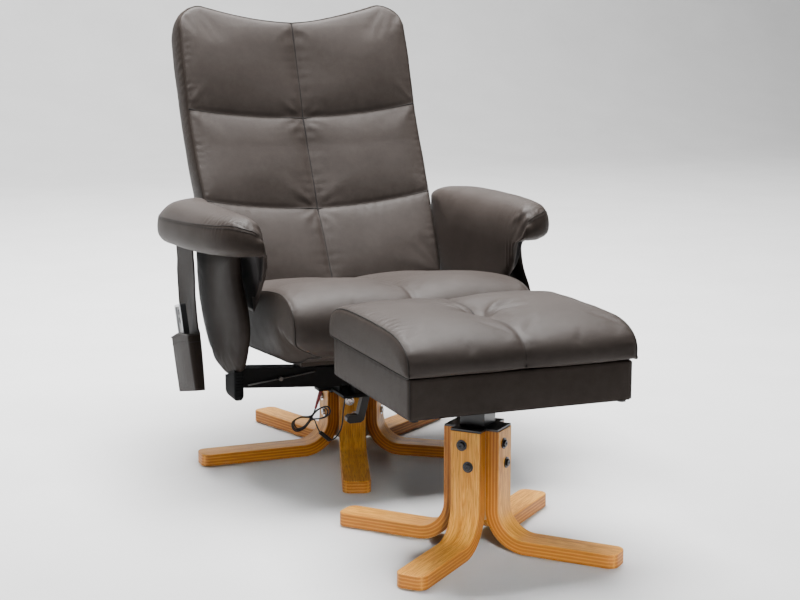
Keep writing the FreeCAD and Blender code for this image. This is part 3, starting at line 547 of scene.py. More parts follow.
def normals_of(verts, faces):
    n = np.zeros_like(verts)
    f = np.asarray(faces)
    a, b, c, d = (verts[f[:, k]] for k in range(4))
    fn = np.cross(c - a, d - b)
    for k in range(4):
        np.add.at(n, f[:, k], fn)
    if (fn * ((a + c) / 2 - verts.mean(0))).sum() < 0:
        n = -n
    return n / np.maximum(np.linalg.norm(n, axis=1, keepdims=True), 1e-12)


def soften(verts, faces, rounds, keep=None, amount=0.5):
    """Evens out a form; keep is 1 where a point stays."""
    f = np.asarray(faces)
    e = np.vstack([f[:, [k, (k + 1) % 4]] for k in range(4)])
    free = 1.0 if keep is None else (1.0 - keep)[:, None]
    v = verts.copy()
    for _ in range(rounds):
        total, count = np.zeros_like(v), np.zeros(len(v))
        np.add.at(total, e[:, 0], v[e[:, 1]])
        np.add.at(count, e[:, 0], 1)
        np.add.at(total, e[:, 1], v[e[:, 0]])
        np.add.at(count, e[:, 1], 1)
        v += (total / count[:, None] - v) * amount * free
    return v


def inflate(name, verts, faces, pins, cap, pressure=4.0, frames=20, stiff=12.0, bend=0.6, shrink=0.0):
    """Sewn leather filled from inside: a cloth run with the seams held, and each point's movement capped (millimetres in and out)."""
    mesh = bpy.data.meshes.new(name + "_fill")
    mesh.from_pydata((verts / 1000.0).tolist(), [], [list(f) for f in faces])
    mesh.update()
    bm = bmesh.new()
    bm.from_mesh(mesh)
    bmesh.ops.recalc_face_normals(bm, faces=bm.faces)
    bm.to_mesh(mesh)
    bm.free()
    o = bpy.data.objects.new(name + "_fill", mesh)
    scene.collection.objects.link(o)
    group = o.vertex_groups.new(name="held")
    for value in np.unique(np.round(pins, 2)):
        if value > 0:
            group.add([int(i) for i in np.nonzero(np.abs(pins - value) < 0.006)[0]], float(value), "REPLACE")
    m = o.modifiers.new("cloth", "CLOTH")
    s = m.settings
    s.quality = 4
    s.mass = 0.3
    s.tension_stiffness = s.compression_stiffness = stiff
    s.shear_stiffness = stiff * 0.5
    s.bending_stiffness = bend
    s.use_pressure = True
    s.uniform_pressure_force = pressure
    s.shrink_min = shrink
    s.vertex_group_mass = "held"
    s.effector_weights.gravity = 0.0
    m.collision_settings.use_collision = False
    m.collision_settings.use_self_collision = False
    m.point_cache.frame_start, m.point_cache.frame_end = 1, frames
    for f in range(1, frames + 1):
        scene.frame_set(f)
    done = o.evaluated_get(bpy.context.evaluated_depsgraph_get()).to_mesh()
    co = np.empty(len(verts) * 3)
    done.vertices.foreach_get("co", co)
    moved = co.reshape(-1, 3) * 1000.0 - verts
    o.evaluated_get(bpy.context.evaluated_depsgraph_get()).to_mesh_clear()
    bpy.data.objects.remove(o)
    scene.frame_set(1)
    far = np.linalg.norm(moved, axis=1, keepdims=True)
    print(name, "fill moved mean %.1f max %.1f mm" % (far.mean(), far.max()))
    return verts + moved * (cap * np.tanh(far / cap) / np.maximum(far, 1e-9))


def finish_pad(name, pad, verts, body, mats, stands_for, levels=1):
    o = make(name, verts, pad.faces, mats, body)
    if len(mats) > 1:
        o.data.polygons.foreach_set("material_index", [min(k, len(mats) - 1) for k in pad.face_kind])
    m = o.modifiers.new("smooth", "SUBSURF")
    m.levels = m.render_levels = levels
    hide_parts(*stands_for)
    return o


def thread(name, points, body, radius=0.9, mat=None, cyclic=False, sink=0.0):
    """A sewn seam's welt or stitching: a fine tube through points in millimetres. On the quilting seams the dark tube
    is made thick so that it also draws the seam's groove as painted shade.
    """
    return curve(name, [Vector(p) / 1000.0 for p in points], radius / 1000.0, mat or THREAD_AND_SEAM_SHADE, body, cyclic, 3)


def wave(arc, seed, length):
    """An uneven ripple along a seam, -1 to 1."""
    a = np.asarray(arc, float).ravel()
    out = np.array([math.sin(2 * math.pi * x / length + 3.2 * noise.noise((x / (length * 2.3), seed, 0.3))) * (0.55 + 0.9 * noise.noise((x / (length * 3.1), seed + 7.7, 1.9))) for x in a])
    return out.reshape(np.shape(arc))


def cloud(points, scale, seed):
    """Smooth noise at each point (millimetres), -1 to 1."""
    return np.array([noise.noise((p[0] / scale + seed, p[1] / scale, p[2] / scale)) for p in points])


def step(a, b, x):
    t = np.clip((x - a) / (b - a), 0, 1)
    return t * t * (3 - 2 * t)


def lump(p, power=0.42):
    """Rise of a stuffed panel between two seams, p from 0 to 1."""
    return np.maximum(4 * p * (1 - p), 0) ** power


# ------------------------------------------------------------------ backrest
BODY_X = np.array([AX, AY, 0.0])


def lean(x, a, n):
    """Backrest coordinates (across, up along the lean, out of its rear) to the shared frame, millimetres."""
    return np.stack([x + AX, 150 + SIN * a + COS * n + AY, 300 + COS * a - SIN * n], -1)


def backrest():
    nu, rows = 84, (30, 34, 36)
    nv = sum(rows)
    u = np.linspace(-1, 1, nu + 1)
    s = 0.55 * u + 0.45 * np.sin(u * math.pi / 2 * 0.95) / math.sin(math.pi / 2 * 0.95)
    q = np.abs(s)
    r = 58.0
    d = np.maximum(q * 262 - (262 - r), 0)
    drop = r - np.sqrt(np.maximum(r * r - d * d, 0))
    lines = [40 + 0 * s, 243 + 24 * s ** 2, 473 + 24 * s ** 2, 712 + 43 * np.minimum(q / 0.80, 1.0) ** 1.5 - drop]
    t = np.concatenate([np.linspace(k, k + 1, m, endpoint=False) for k, m in enumerate(rows)] + [[3.0]])
    A = np.zeros((nu + 1, nv + 1))
    for j, tt in enumerate(t):
        k = min(int(tt), 2)
        f = tt - k
        A[:, j] = lines[k] * (1 - f) + lines[k + 1] * f
    S = np.repeat(s[:, None], nv + 1, 1)
    T = np.repeat(t[None], nu + 1, 0)
    front = np.interp(A, [40, 60, 135, 250, 400, 480, 620, 700, 752], [-50, -58, -46, -24, -9, -7, -12, -15, -6])
    wing = np.interp(A, [40, 243, 473, 714], [8, 26, 16, 18])
    N = front + 9 - wing * S ** 2
    p = np.where(S < 0, S + 1, S)
    cell = np.clip(T - np.minimum(np.floor(T), 2), 0, 1)
    puff = lump(p, 0.27) * lump(cell, 0.27)
    height = np.interp(T, [0, 0.3, 1, 2, 3], [8, 11, 12, 12, 11])
    half = np.interp(A, [40, 243, 340, 473, 620, 714], [268, 277, 281, 283, 284, 282])
    X = S * half
    F = lean(X, A, N - 0.75 * height * puff)
    rear = np.interp(A, [40, 62, 76, 180, 330, 500, 620, 696, 748], [26, 47, 58, 61, 68, 80, 86, 84, 70])
    Rn = rear - 6 + 8 * (1 - S ** 4) * lump(np.clip(T / 3, 0, 1), 0.3)
    R = lean(S * (half - 5), A - 4 * (T / 3), Rn)
    rim = border(nu, nv)
    fb = np.array([F[ij] for ij in rim])
    rb = np.array([R[ij] for ij in rim])
    flat = np.array([(X[ij], A[ij]) for ij in rim])
    tangent = np.roll(flat, -1, 0) - np.roll(flat, 1, 0)
    out2 = np.stack([tangent[:, 1], -tangent[:, 0]], 1)
    out2 /= np.linalg.norm(out2, axis=1, keepdims=True)
    if (out2 * (flat - flat.mean(0))).sum() < 0:
        out2 = -out2
    out3 = np.stack([out2[:, 0], SIN * out2[:, 1], COS * out2[:, 1]], 1)
    side_bulge = np.interp(flat[:, 1], [40, 250, 380, 720], [4.0, 5.0, 9.5, 9.5])

    def ring(k):
        return fb * (1 - k) + rb * k + out3 * (side_bulge * math.sin(math.pi * k) ** 0.6)[:, None]

    pad = Pad(F, R, 10, ring)
    held = np.zeros(len(pad.v))
    grid = pad.panel(0)
    for j in (0, rows[0], rows[0] + rows[1], nv):
        held[grid[:, j]] = 1
    for i in (0, nu // 2, nu):
        held[grid[i, :]] = 1
    back = pad.panel(1)
    held[back.ravel()] = 0.85
    for ij in rim:
        held[back[ij]] = 1
    v = inflate("back", pad.v, pad.faces, held, 6.0, pressure=0.7)
    # gathers along the sewn edges, tension folds running into the seam crossings
    dist, arc = rim_facts(np.stack([X, A], 2))
    nrm = normals_of(v, pad.faces)
    near = np.exp(-dist / 13.0) * step(0, 5, dist)
    fold = 2.1 * near * wave(arc, 1.0, 17.0)
    for (ci, cj) in [(nu // 2, rows[0]), (nu // 2, rows[0] + rows[1])]:
        cx, ca = X[ci, cj], A[ci, cj]
        rr = np.hypot(X - cx, A - ca)
        th = np.arctan2(A - ca, X - cx)
        fold -= 3.2 * np.exp(-(rr / 26.0) ** 2)
        fold += 1.2 * np.exp(-((rr - 30) / 22.0) ** 2) * np.cos(9 * th + 2.0 * cj)
    along_row = np.zeros_like(fold)
    for j in (rows[0], rows[0] + rows[1]):
        dj = np.abs(A - A[:, j:j + 1])
        along_row += 1.5 * np.exp(-dj / 15.0) * step(0, 4, dj) * wave(X + 400 * (j + 1), 4.0 + j, 24.0)
    dx = np.abs(X)
    along_row += 1.3 * np.exp(-dx / 15.0) * step(0, 4, dx) * wave(A, 9.0, 26.0)
    v[grid.ravel()] += nrm[grid.ravel()] * (fold + along_row).reshape(-1, 1)
    bandv = np.nonzero(pad.kind == 1)[0]
    order = (bandv - 2 * pad.size) % pad.count
    kk = (bandv - 2 * pad.size) // pad.count / 10.0
    rimarc = np.concatenate([[0], np.cumsum(np.linalg.norm(np.diff(flat, axis=0), axis=1))])
    v[bandv] += nrm[bandv] * (1.6 * np.exp(-np.minimum(kk, 0.9 - kk) * 9) * wave(rimarc[order], 2.0, 19.0))[:, None]
    v += nrm * (1.0 * cloud(v, 70.0, 3.0))[:, None]
    # the side band and the welts take the darker band leather: painted shade
    o = finish_pad("back_cushion_leather", pad, v, "backrest", [HIDE, HIDE_BAND_PAINTED_SHADE, HIDE], ["back_cushion"])
    thread("back_front_welt", [v[grid[ij]] for ij in rim], "backrest", 0.8, HIDE_BAND_PAINTED_SHADE, True)
    thread("back_rear_welt", [v[back[ij]] for ij in rim], "backrest", 1.0, HIDE_BAND_PAINTED_SHADE, True)
    # the quilting seams: dark thread tubes made thick so they also draw each seam's groove as painted shade
    for name, pts in (("back_seam_upper", [v[grid[i, rows[0] + rows[1]]] for i in range(nu + 1)]),
                      ("back_seam_lower", [v[grid[i, rows[0]]] for i in range(nu + 1)]),
                      ("back_seam_centre", [v[grid[nu // 2, j]] for j in range(nv + 1)])):
        thread(name, pts, "backrest", 2.2 if name == "back_seam_centre" else 1.6)
    return o


backrest()


# ------------------------------------------------------------------ seat
SEAT = [(104, 330), (96, 372), (40, 388), (-120, 412), (-270, 434), (-350, 430), (-396, 402), (-408, 355), (-392, 306), (-345, 281), (-200, 278), (40, 278), (92, 288)]


def outward2(loop):
    t = np.roll(loop, -1, 0) - np.roll(loop, 1, 0)
    n = np.stack([t[:, 1], -t[:, 0]], 1)
    n /= np.linalg.norm(n, axis=1, keepdims=True)
    return n if (n * (loop - loop.mean(0))).sum() > 0 else -n


def wrapped(profile, corners, n1, n2, half, rings, weight, puff, inset, cap_bulge, cap_span, axis, tuck=None, power=0.40):
    """A waterfall cushion: one profile carried across x, with a middle seam, and boxed ends. tuck draws the end seams in along the rim."""
    chains = four_sides(profile, corners, n1, n2)
    grid2 = patch(chains)
    dist, arc = rim_facts(grid2)
    rim = border(n1, n2)
    loop = np.array([grid2[ij] for ij in rim])
    out = outward2(loop)
    w = weight(out)
    base = loop - out * (inset * w)[:, None]
    shift = np.zeros_like(grid2)
    for (i, j), a, b in zip(rim, loop, base):
        shift[i, j] = b - a
    centre = loop.mean(0)
    g = grid2.copy()
    for (i, j), b in zip(rim, base):
        g[i, j] = b
    inner = dist > 1e-6
    g[inner] = grid2[inner] + (centre - grid2[inner]) * 0.012
    dome = cap_bulge * np.minimum(1, dist / cap_span) ** 0.5
    pull = np.zeros(len(loop)) if tuck is None else tuck(loop)
    near = np.searchsorted(np.concatenate([[0], np.cumsum(np.linalg.norm(np.diff(loop, axis=0), axis=1))]), arc.ravel() - 1e-6).reshape(arc.shape).clip(0, len(loop) - 1)
    dome = dome - pull[near] * np.exp(-(dist / 48.0) ** 1.5)

    def place(x, yz):
        return np.stack([np.broadcast_to(x, yz.shape[:-1]) + axis[0], yz[..., 0] + axis[1], yz[..., 1] + 0 * x], -1)

    F = place(-half - dome, g)
    R = place(half + dome, g)

    def ring(k):
        p = (k * 2) % 1.0 if k != 0.5 else 0.0
        h = lump(np.array(p), power) * puff
        return place((-1 + 2 * k) * (half - pull), base + out * (h * w)[:, None])

    pad = Pad(F, R, rings, ring)
    rimarc = np.concatenate([[0], np.cumsum(np.linalg.norm(np.diff(loop, axis=0), axis=1))])
    return pad, rim, loop, out, w, dist, arc, rimarc


def seat_weight(out):
    return step(-0.98, -0.25, out[:, 1] - 0.6 * np.maximum(out[:, 0], 0)) * 0.92 + 0.08


def seat_tuck(loop):
    """How far the end seams run in towards the middle: most under the front, nothing on top."""
    y, z = loop[:, 0], loop[:, 1]
    return 46.0 * step(345, 290, z) * step(-280, -372, y) + 22.0 * step(300, 284, z) * step(-60, -300, y)


def seat():
    rings = 76
    pad, rim, loop, out, w, dist, arc, rimarc = wrapped(SEAT, [(98, 366), (-372, 418), (-372, 291), (96, 292)], 66, 18, 262.0, rings, seat_weight, 15.0, 7.0, 6.5, 55.0, (AX, AY), seat_tuck)
    held = np.zeros(len(pad.v))
    for g in (pad.panel(0), pad.panel(1)):
        held[g.ravel()] = 0.6
        for ij in rim:
            held[g[ij]] = 1
    rows = pad.rows
    held[rows[rings // 2]] = 1
    low = np.nonzero(w < 0.35)[0]
    for r in rows:
        held[np.array(r)[low]] = 1
    v = inflate("seat", pad.v, pad.faces, held, 15.0)
    nrm = normals_of(v, pad.faces)
    add = np.zeros(len(v))
    for r in range(1, rings):
        x = (-1 + 2 * r / rings) * 262
        edge = 262 - abs(x)
        ids = np.array(rows[r])
        add[ids] += w * (2.2 * math.exp(-edge / 14.0) * min(1, edge / 5) * wave(rimarc, 11.0 + (x > 0), 19.0))
        mid = abs(x)
        add[ids] += w * (1.8 * math.exp(-mid / 16.0) * min(1, mid / 5) * wave(rimarc, 15.0, 25.0))
        # sit creases across the top and where the front turns over
        y = loop[:, 0]
        dip = np.exp(-((y + 60) / 120.0) ** 2) * (out[:, 1] > 0.6) * (1 - math.exp(-mid / 60.0)) * (1 - math.exp(-edge / 60.0))
        add[ids] -= 5.0 * dip
    add += 1.4 * cloud(v, 85.0, 21.0) + 0.5 * cloud(v, 34.0, 5.0)
    for g in (pad.panel(0), pad.panel(1)):
        add[g.ravel()] += (1.3 * np.exp(-dist / 12.0) * step(0, 5, dist) * wave(arc, 17.0, 17.0)).ravel()
    v += nrm * add[:, None]
    # the underside rises towards the front corners
    lift = np.interp(np.abs(v[:, 0] - AX), [50, 120, 180, 225, 262], [0, 12, 20, 17, 10]) * (0.35 + 0.65 * step(-312, -334, v[:, 1] - AY))
    lift = lift * step(-60, -350, v[:, 1] - AY) * step(352, 280, v[:, 2])
    v[:, 2] += lift
    # the boxed ends take the darker band leather: painted shade
    finish_pad("seat_cushion_leather", pad, v, "seat", [HIDE_BAND_PAINTED_SHADE, HIDE, HIDE_BAND_PAINTED_SHADE], ["seat_cushion"])
    g0, g1 = pad.panel(0), pad.panel(1)
    thread("seat_left_welt", [v[g0[ij]] for ij in rim], "seat", 1.5, PIPING, True)
    thread("seat_right_welt", [v[g1[ij]] for ij in rim], "seat", 1.5, PIPING, True)
    # the middle seam: a thick dark thread tube, partly painted shade for the seam's groove
    thread("seat_centre_seam", [v[i] for i in rows[rings // 2]], "seat", 1.8, None, True)


seat()


# ------------------------------------------------------------------ footstool lid
LID = [(200, 383), (206, 393), (206.5, 405), (200, 420), (184, 434), (154, 445.5), (105, 452), (0, 454), (-105, 452), (-154, 445.5), (-184, 434), (-200, 420), (-206.5, 405), (-206, 393), (-200, 383), (-120, 381.5), (0, 381.5), (120, 381.5)]

LID_BOARD = (202.0, 181.5)


def lid_weight(out):
    return step(-0.9, 0.0, out[:, 1])


def lid():
    rings = 66
    pad, rim, loop, out, w, dist, arc, rimarc = wrapped(LID, [(197, 424), (-197, 424), (-203, 386), (203, 386)], 60, 9, 221.0, rings, lid_weight, 10.0, 3.0, 7.0, 24.0, (SX, SY), None, 0.32)
    held = np.zeros(len(pad.v))
    for g in (pad.panel(0), pad.panel(1)):
        held[g.ravel()] = 0.6
        for ij in rim:
            held[g[ij]] = 1
    rows = pad.rows
    held[rows[rings // 2]] = 1
    low = np.nonzero(w < 0.3)[0]
    for r in rows:
        held[np.array(r)[low]] = 1
    v = inflate("lid", pad.v, pad.faces, held, 12.0)
    nrm = normals_of(v, pad.faces)
    add = np.zeros(len(v))
    for r in range(1, rings):
        x = (-1 + 2 * r / rings) * 220
        edge = 220 - abs(x)
        ids = np.array(rows[r])
        add[ids] += w * (2.8 * math.exp(-edge / 17.0) * min(1, edge / 5) * wave(rimarc, 31.0 + (x > 0), 19.0))
        mid = abs(x)
        add[ids] += w * (1.6 * math.exp(-mid / 16.0) * min(1, mid / 5) * wave(rimarc, 35.0, 23.0))
        y = loop[:, 0]
        top = (out[:, 1] > 0.7)
        rr = np.hypot(x, y)
        th = np.arctan2(y, x)
        add[ids] += top * (-13.0 * np.exp(-(rr / 22.0) ** 2) - 9.0 * np.exp(-(rr / 80.0) ** 2)
                           + 5.0 * np.exp(-((rr - 48) / 34.0) ** 2) * np.cos(8 * th + 0.8 + 1.7 * np.sin(3 * th)) * (0.6 + 0.4 * np.cos(th - 0.6)))
    add += 1.0 * cloud(v, 75.0, 41.0)
    for g in (pad.panel(0), pad.panel(1)):
        add[g.ravel()] += (1.2 * np.exp(-dist / 11.0) * step(0, 5, dist) * wave(arc, 37.0, 17.0)).ravel()
    v += nrm * add[:, None]
    v[:, 2] = np.maximum(v[:, 2], 380.8)
    # under the lid the leather is turned in over the edge of the board, which shows inside the turned rim
    inside = step(6, 14, LID_BOARD[0] - np.abs(v[:, 0] - SX)) * step(6, 14, LID_BOARD[1] - np.abs(v[:, 1] - SY)) * (v[:, 2] < 388)
    v[:, 2] = np.where(inside > 0, np.maximum(v[:, 2], 380.8 + 6.0 * inside), v[:, 2])
    # the boxed ends take the darker band leather: painted shade
    finish_pad("stool_lid_leather", pad, v, "stool_lid", [HIDE_BAND_PAINTED_SHADE, HIDE, HIDE_BAND_PAINTED_SHADE], ["stool_lid_cushion"])
    g0, g1 = pad.panel(0), pad.panel(1)
    thread("lid_left_welt", [v[g0[ij]] for ij in rim], "stool_lid", 1.3, PIPING, True)
    thread("lid_right_welt", [v[g1[ij]] for ij in rim], "stool_lid", 1.3, PIPING, True)
    upper = [v[i] for i, q in zip(rows[rings // 2], w) if q > 0.05]
    start = next((k for k in range(len(w)) if w[k] > 0.05 and w[k - 1] <= 0.05), 0)
    ordered = [rows[rings // 2][(start + k) % len(w)] for k in range(len(w)) if w[(start + k) % len(w)] > 0.05]
    # the middle seam: a thick dark thread tube, partly painted shade for the seam's groove
    thread("lid_centre_seam", [v[i] for i in ordered], "stool_lid", 1.8)


lid()

# ------------------------------------------------------------------ arms
ARM = [(338, 262), (378, 236), (397, 150), (399, 40), (394, -80), (383, -168), (367, -233), (343, -277), (311, -291), (285, -281), (276, -248), (275, -100), (275, 60), (276.5, 160), (284, 215), (306, 250)]


def arm(side, name, node):
    """Arm pad: the top rolls over the inner edge and runs on down to the seat; a band closes the outer side and the nose."""
    n1, n2 = 18, 120
    chains = four_sides(ARM, [(292, 234), (374, 240), (352, -267), (280, -271)], n1, n2)
    grid2 = patch(chains)
    dist, arc = rim_facts(grid2)
    rim = border(n1, n2)
    loop = np.array([grid2[ij] for ij in rim])
    out = outward2(loop)
    rimarc = np.concatenate([[0], np.cumsum(np.linalg.norm(np.diff(loop, axis=0), axis=1))])
    near = np.searchsorted(rimarc, arc.ravel() - 1e-6).reshape(arc.shape).clip(0, len(loop) - 1)
    X, Y = grid2[..., 0], grid2[..., 1]
    inner = step(-0.35, -0.88, out[:, 0])
    seam = np.interp(loop[:, 1], [-300, -233, -35, 250], [572, 565, 551, 532])
    tip = step(-215, -288, loop[:, 1])
    seam = seam * (1 - tip) + tip * np.interp(loop[:, 0], [277, 285, 297, 315, 345, 372], [535, 538, 547, 559, 568, 569])
    seam = seam + 22.0 * step(100, 200, loop[:, 1]) * step(355, 310, loop[:, 0])
    rear = step(70, 170, loop[:, 1])
    zr = seam * (1 - inner) + (502.0 + 48.0 * rear) * inner
    reach = 46.0 * (1 - inner) + (56.0 - 26.0 * rear) * inner
    crest = np.interp(Y, [-300, -262, -235, -100, 20, 60, 120, 170, 220, 265], [579, 584, 586, 585, 583, 582, 579, 571, 554, 535])
    crest = crest + step(362, 312, X) * np.interp(Y, [40, 120, 170, 220, 265], [0, 2, 6, 12, 16])
    full = (2.0 + 0.7 * inner)[near]
    rise = np.maximum(0, 1 - (1 - np.minimum(dist / reach[near], 1)) ** full) ** (1 / full)
    z_top = crest - (crest - zr[near]) * (1 - rise)
    for _ in range(14):
        z_top[1:-1, 1:-1] += 0.5 * ((z_top[:-2, 1:-1] + z_top[2:, 1:-1] + z_top[1:-1, :-2] + z_top[1:-1, 2:]) / 4 - z_top[1:-1, 1:-1])
    under = lambda y: np.interp(y, [-290, -129, 155, 262], [504, 496, 483, 480])
    drop = np.minimum(np.interp(X, [272, 276, 281, 286, 291, 296], [130, 128, 120, 74, 24, 0]),
                      np.interp(Y, [-271, -263, -252, -228, -203, -180, 178, 198], [0, 32, 56, 82, 108, 130, 130, 0]))
    place = lambda x, y, z: np.stack([side * x + AX, y + AY, z + 0 * x], -1)
    F = place(X, Y, z_top)
    R = place(X, Y, under(Y) - drop)
    fb = np.array([F[ij] for ij in rim])
    rb = np.array([R[ij] for ij in rim])
    round_off = step(-130, -290, loop[:, 1])
    bulge = (4.5 + 5.5 * round_off) * (1 - inner) + 0.4 * inner
    under_in = 7.0 + 9.0 * round_off * (1 - inner)
    out3 = np.stack([side * out[:, 0], out[:, 1], 0 * out[:, 0]], 1)
    rings = 12

    def ring(k):
        return fb * (1 - k) + rb * k + out3 * (bulge * math.sin(math.pi * k) ** 0.7)[:, None] - out3 * (under_in * max(0, (k - 0.72) / 0.28) ** 2)[:, None]

    pad = Pad(F, R, rings, ring)
    v0 = pad.v.copy()
    low = pad.panel(1)
    grid = pad.panel(0)
    v0[low.ravel()] -= (out3[near] * (under_in[near] * np.maximum(0, 1 - dist / 48.0))[..., None]).reshape(-1, 3)
    bandv = np.nonzero(pad.kind == 1)[0]
    order = (bandv - 2 * pad.size) % pad.count
    kk = ((bandv - 2 * pad.size) // pad.count + 1) / rings
    held = np.zeros(len(v0))
    held[low.ravel()] = 1
    for ij in rim:
        held[grid[ij]] = 1
    held[bandv] = np.round(inner[order], 1)
    v = inflate(name, v0, pad.faces, held, 4.0, pressure=2.5)
    nrm = normals_of(v, pad.faces)
    add = np.zeros(len(v))
    nose = step(-150, -285, Y)
    sewn = 1 - inner[near]
    add[grid.ravel()] = ((0.9 + 3.0 * nose) * np.exp(-dist / (11.0 + 26 * nose)) * step(0, 5, dist) * wave(arc, 51.0 + side, 15.0) * (0.15 + 0.85 * sewn)).ravel()
    nb = step(-150, -285, loop[:, 1])
    add[bandv] = (0.7 + 1.6 * nb[order]) * np.exp(-kk * 7) * wave(rimarc, 55.0 + side, 13.0)[order] * (1 - inner[order])
    # upright pleats at the front edge of the inner panel
    front = step(-222, -246, loop[:, 1]) * inner
    add[bandv] += 2.2 * front[order] * np.cos((loop[order, 1] + 262) * 2 * math.pi / 14.0) * step(0.0, 0.25, kk)
    add[low.ravel()] += (1.8 * np.cos((X - 275) * 2 * math.pi / 15.0) * step(306, 290, X) * step(-170, -215, Y)).ravel()
    add += 0.8 * cloud(v, 70.0, 61.0 + side)
    # the knot where the band's end is gathered into the inner panel, with folds fanning out of it
    c = np.array([side * 285 + AX, -272 + AY, 545.0])
    rel = v - c
    rr = np.linalg.norm(rel, axis=1)
    th = np.arctan2(rel[:, 2], rel[:, 1] - side * rel[:, 0])
    shown = pad.kind < 2
    add -= shown * 5.0 * np.exp(-(rr / 11.0) ** 2)
    add += shown * 2.6 * np.exp(-((rr - 20) / 13.0) ** 2) * np.cos(7 * th + 1.5 * np.sin(2 * th))
    v += nrm * add[:, None]
    v[:, 0] = np.where((pad.kind == 1) | (pad.kind == 2), AX + side * np.maximum(side * (v[:, 0] - AX), 272.2), v[:, 0])
    # the outer band and the nose take the darker band leather: painted shade
    o = finish_pad(name, pad, v, "chair_frame", [HIDE, HIDE_BAND_PAINTED_SHADE, LINING_AND_SHADE], [node, "arm_aprons"])
    ring_inner = np.concatenate([np.ones(2 * pad.size), inner[np.arange(len(v) - 2 * pad.size) % pad.count]])
    ring_inner[grid.ravel()] = 0
    for ij, q in zip(rim, inner):
        ring_inner[grid[ij]] = ring_inner[low[ij]] = q
    # underside faces near the inner edge turn taupe; the rest of the underside keeps the near-black leather as painted
    # shade in the hollow under the arm
    kinds = []
    for f, k in zip(pad.faces, pad.face_kind):
        if k == 1 and ring_inner[list(f)].max() > 0.02:
            k = 0
        if k == 2 and np.abs(v[list(f), 0] - AX).mean() < 287:
            k = 0
        kinds.append(k)
    o.data.polygons.foreach_set("material_index", kinds)
    # sewn seam along the outer edge and round the nose, ending in the knot, with a row of stitching below it
    run = [k for k in range(pad.count) if inner[k] < 0.5]
    start = next(k for k in run if (k - 1) % pad.count not in run)
    ordered = [(start + k) % pad.count for k in range(pad.count) if (start + k) % pad.count in run]
    thread(name + "_welt", [v[grid[rim[k]]] for k in ordered], "chair_frame", 0.9, PIPING)
    thread(name + "_stitch", [v[pad.rows[1][k]] + nrm[pad.rows[1][k]] * 0.3 for k in ordered], "chair_frame", 0.45)
    return o


arm(-1, "arm_left_leather", "arm_pad_left")
arm(1, "arm_right_leather", "arm_pad_right")

# ------------------------------------------------------------------ arm posts
POST = [(104, 489), (100, 400), (76, 335), (22, 276), (-53, 239), (-130, 232.2), (-206, 253.2), (-246, 295), (-266, 352), (-250, 398), (-216, 440), (-204, 479), (-203, 505)]


def post(side, name, node):
    n1, n2 = 34, 30
    edge = dense(POST, False)
    closed = np.vstack([edge, evenly(np.array([POST[-1], POST[0]], float), 40)[1:-1]])
    corners = [(104, 489), (-53, 239), (-206, 253.2), (-203, 505)]
    at = [int(np.argmin(np.linalg.norm(closed - np.asarray(c, float), axis=1))) for c in corners]
    chains = []
    for k, n in enumerate((n1, n2, n1, n2)):
        i, j = at[k], at[(k + 1) % 4]
        chains.append(evenly(closed[i:j + 1] if j > i else np.concatenate([closed[i:], closed[:j + 1]]), n))
    grid2 = patch(chains)
    dist, arc = rim_facts(grid2)
    rim = border(n1, n2)
    loop = np.array([grid2[ij] for ij in rim])
    out = outward2(loop)
    Y, Z = grid2[..., 0], grid2[..., 1]
    place = lambda x, y, z: np.stack([side * (x + 0 * y) + AX, y + AY, z], -1)
    dome = np.sqrt(1 - (1 - np.minimum(1, dist / 34.0)) ** 2)
    middle = loop.mean(0)
    Y, Z = middle[0] + (Y - middle[0]) * 0.985, middle[1] + (Z - middle[1]) * 0.985
    F = place(314.0 - 5.0 * dome, Y, Z)
    R = place(326.5 + 10.0 * dome, Y, Z)
    rings = 8
    rimarc = np.concatenate([[0], np.cumsum(np.linalg.norm(np.diff(loop, axis=0), axis=1))])

    def ring(k):
        push = 3.6 * math.sin(math.pi * k) ** 0.6
        flat = middle + (loop - middle) * 0.985
        return place(314.0 + 12.5 * k + 0 * loop[:, 0], flat[:, 0] + out[:, 0] * push, flat[:, 1] + out[:, 1] * push * (loop[:, 1] < 484))

    pad = Pad(F, R, rings, ring)
    held = np.zeros(len(pad.v))
    held[pad.panel(0).ravel()] = 1
    for ij in rim:
        held[pad.panel(1)[ij]] = 1
        held[pad.panel(0)[ij]] = 1
    v = inflate(name, pad.v, pad.faces, held, 4.0, pressure=2.0)
    nrm = normals_of(v, pad.faces)
    add = 0.7 * cloud(v, 60.0, 71.0 + side)
    g1 = pad.panel(1)
    add[g1.ravel()] += (0.8 * np.exp(-dist / 10.0) * step(0, 5, dist) * wave(arc, 75.0, 19.0)).ravel()
    v += nrm * add[:, None]
    # the post takes the much darker leather copy: painted shade
    finish_pad(name, pad, v, "chair_frame", [HIDE_PAINTED_SHADE], [node])


post(-1, "arm_post_left_leather", "arm_post_left")
post(1, "arm_post_right_leather", "arm_post_right")


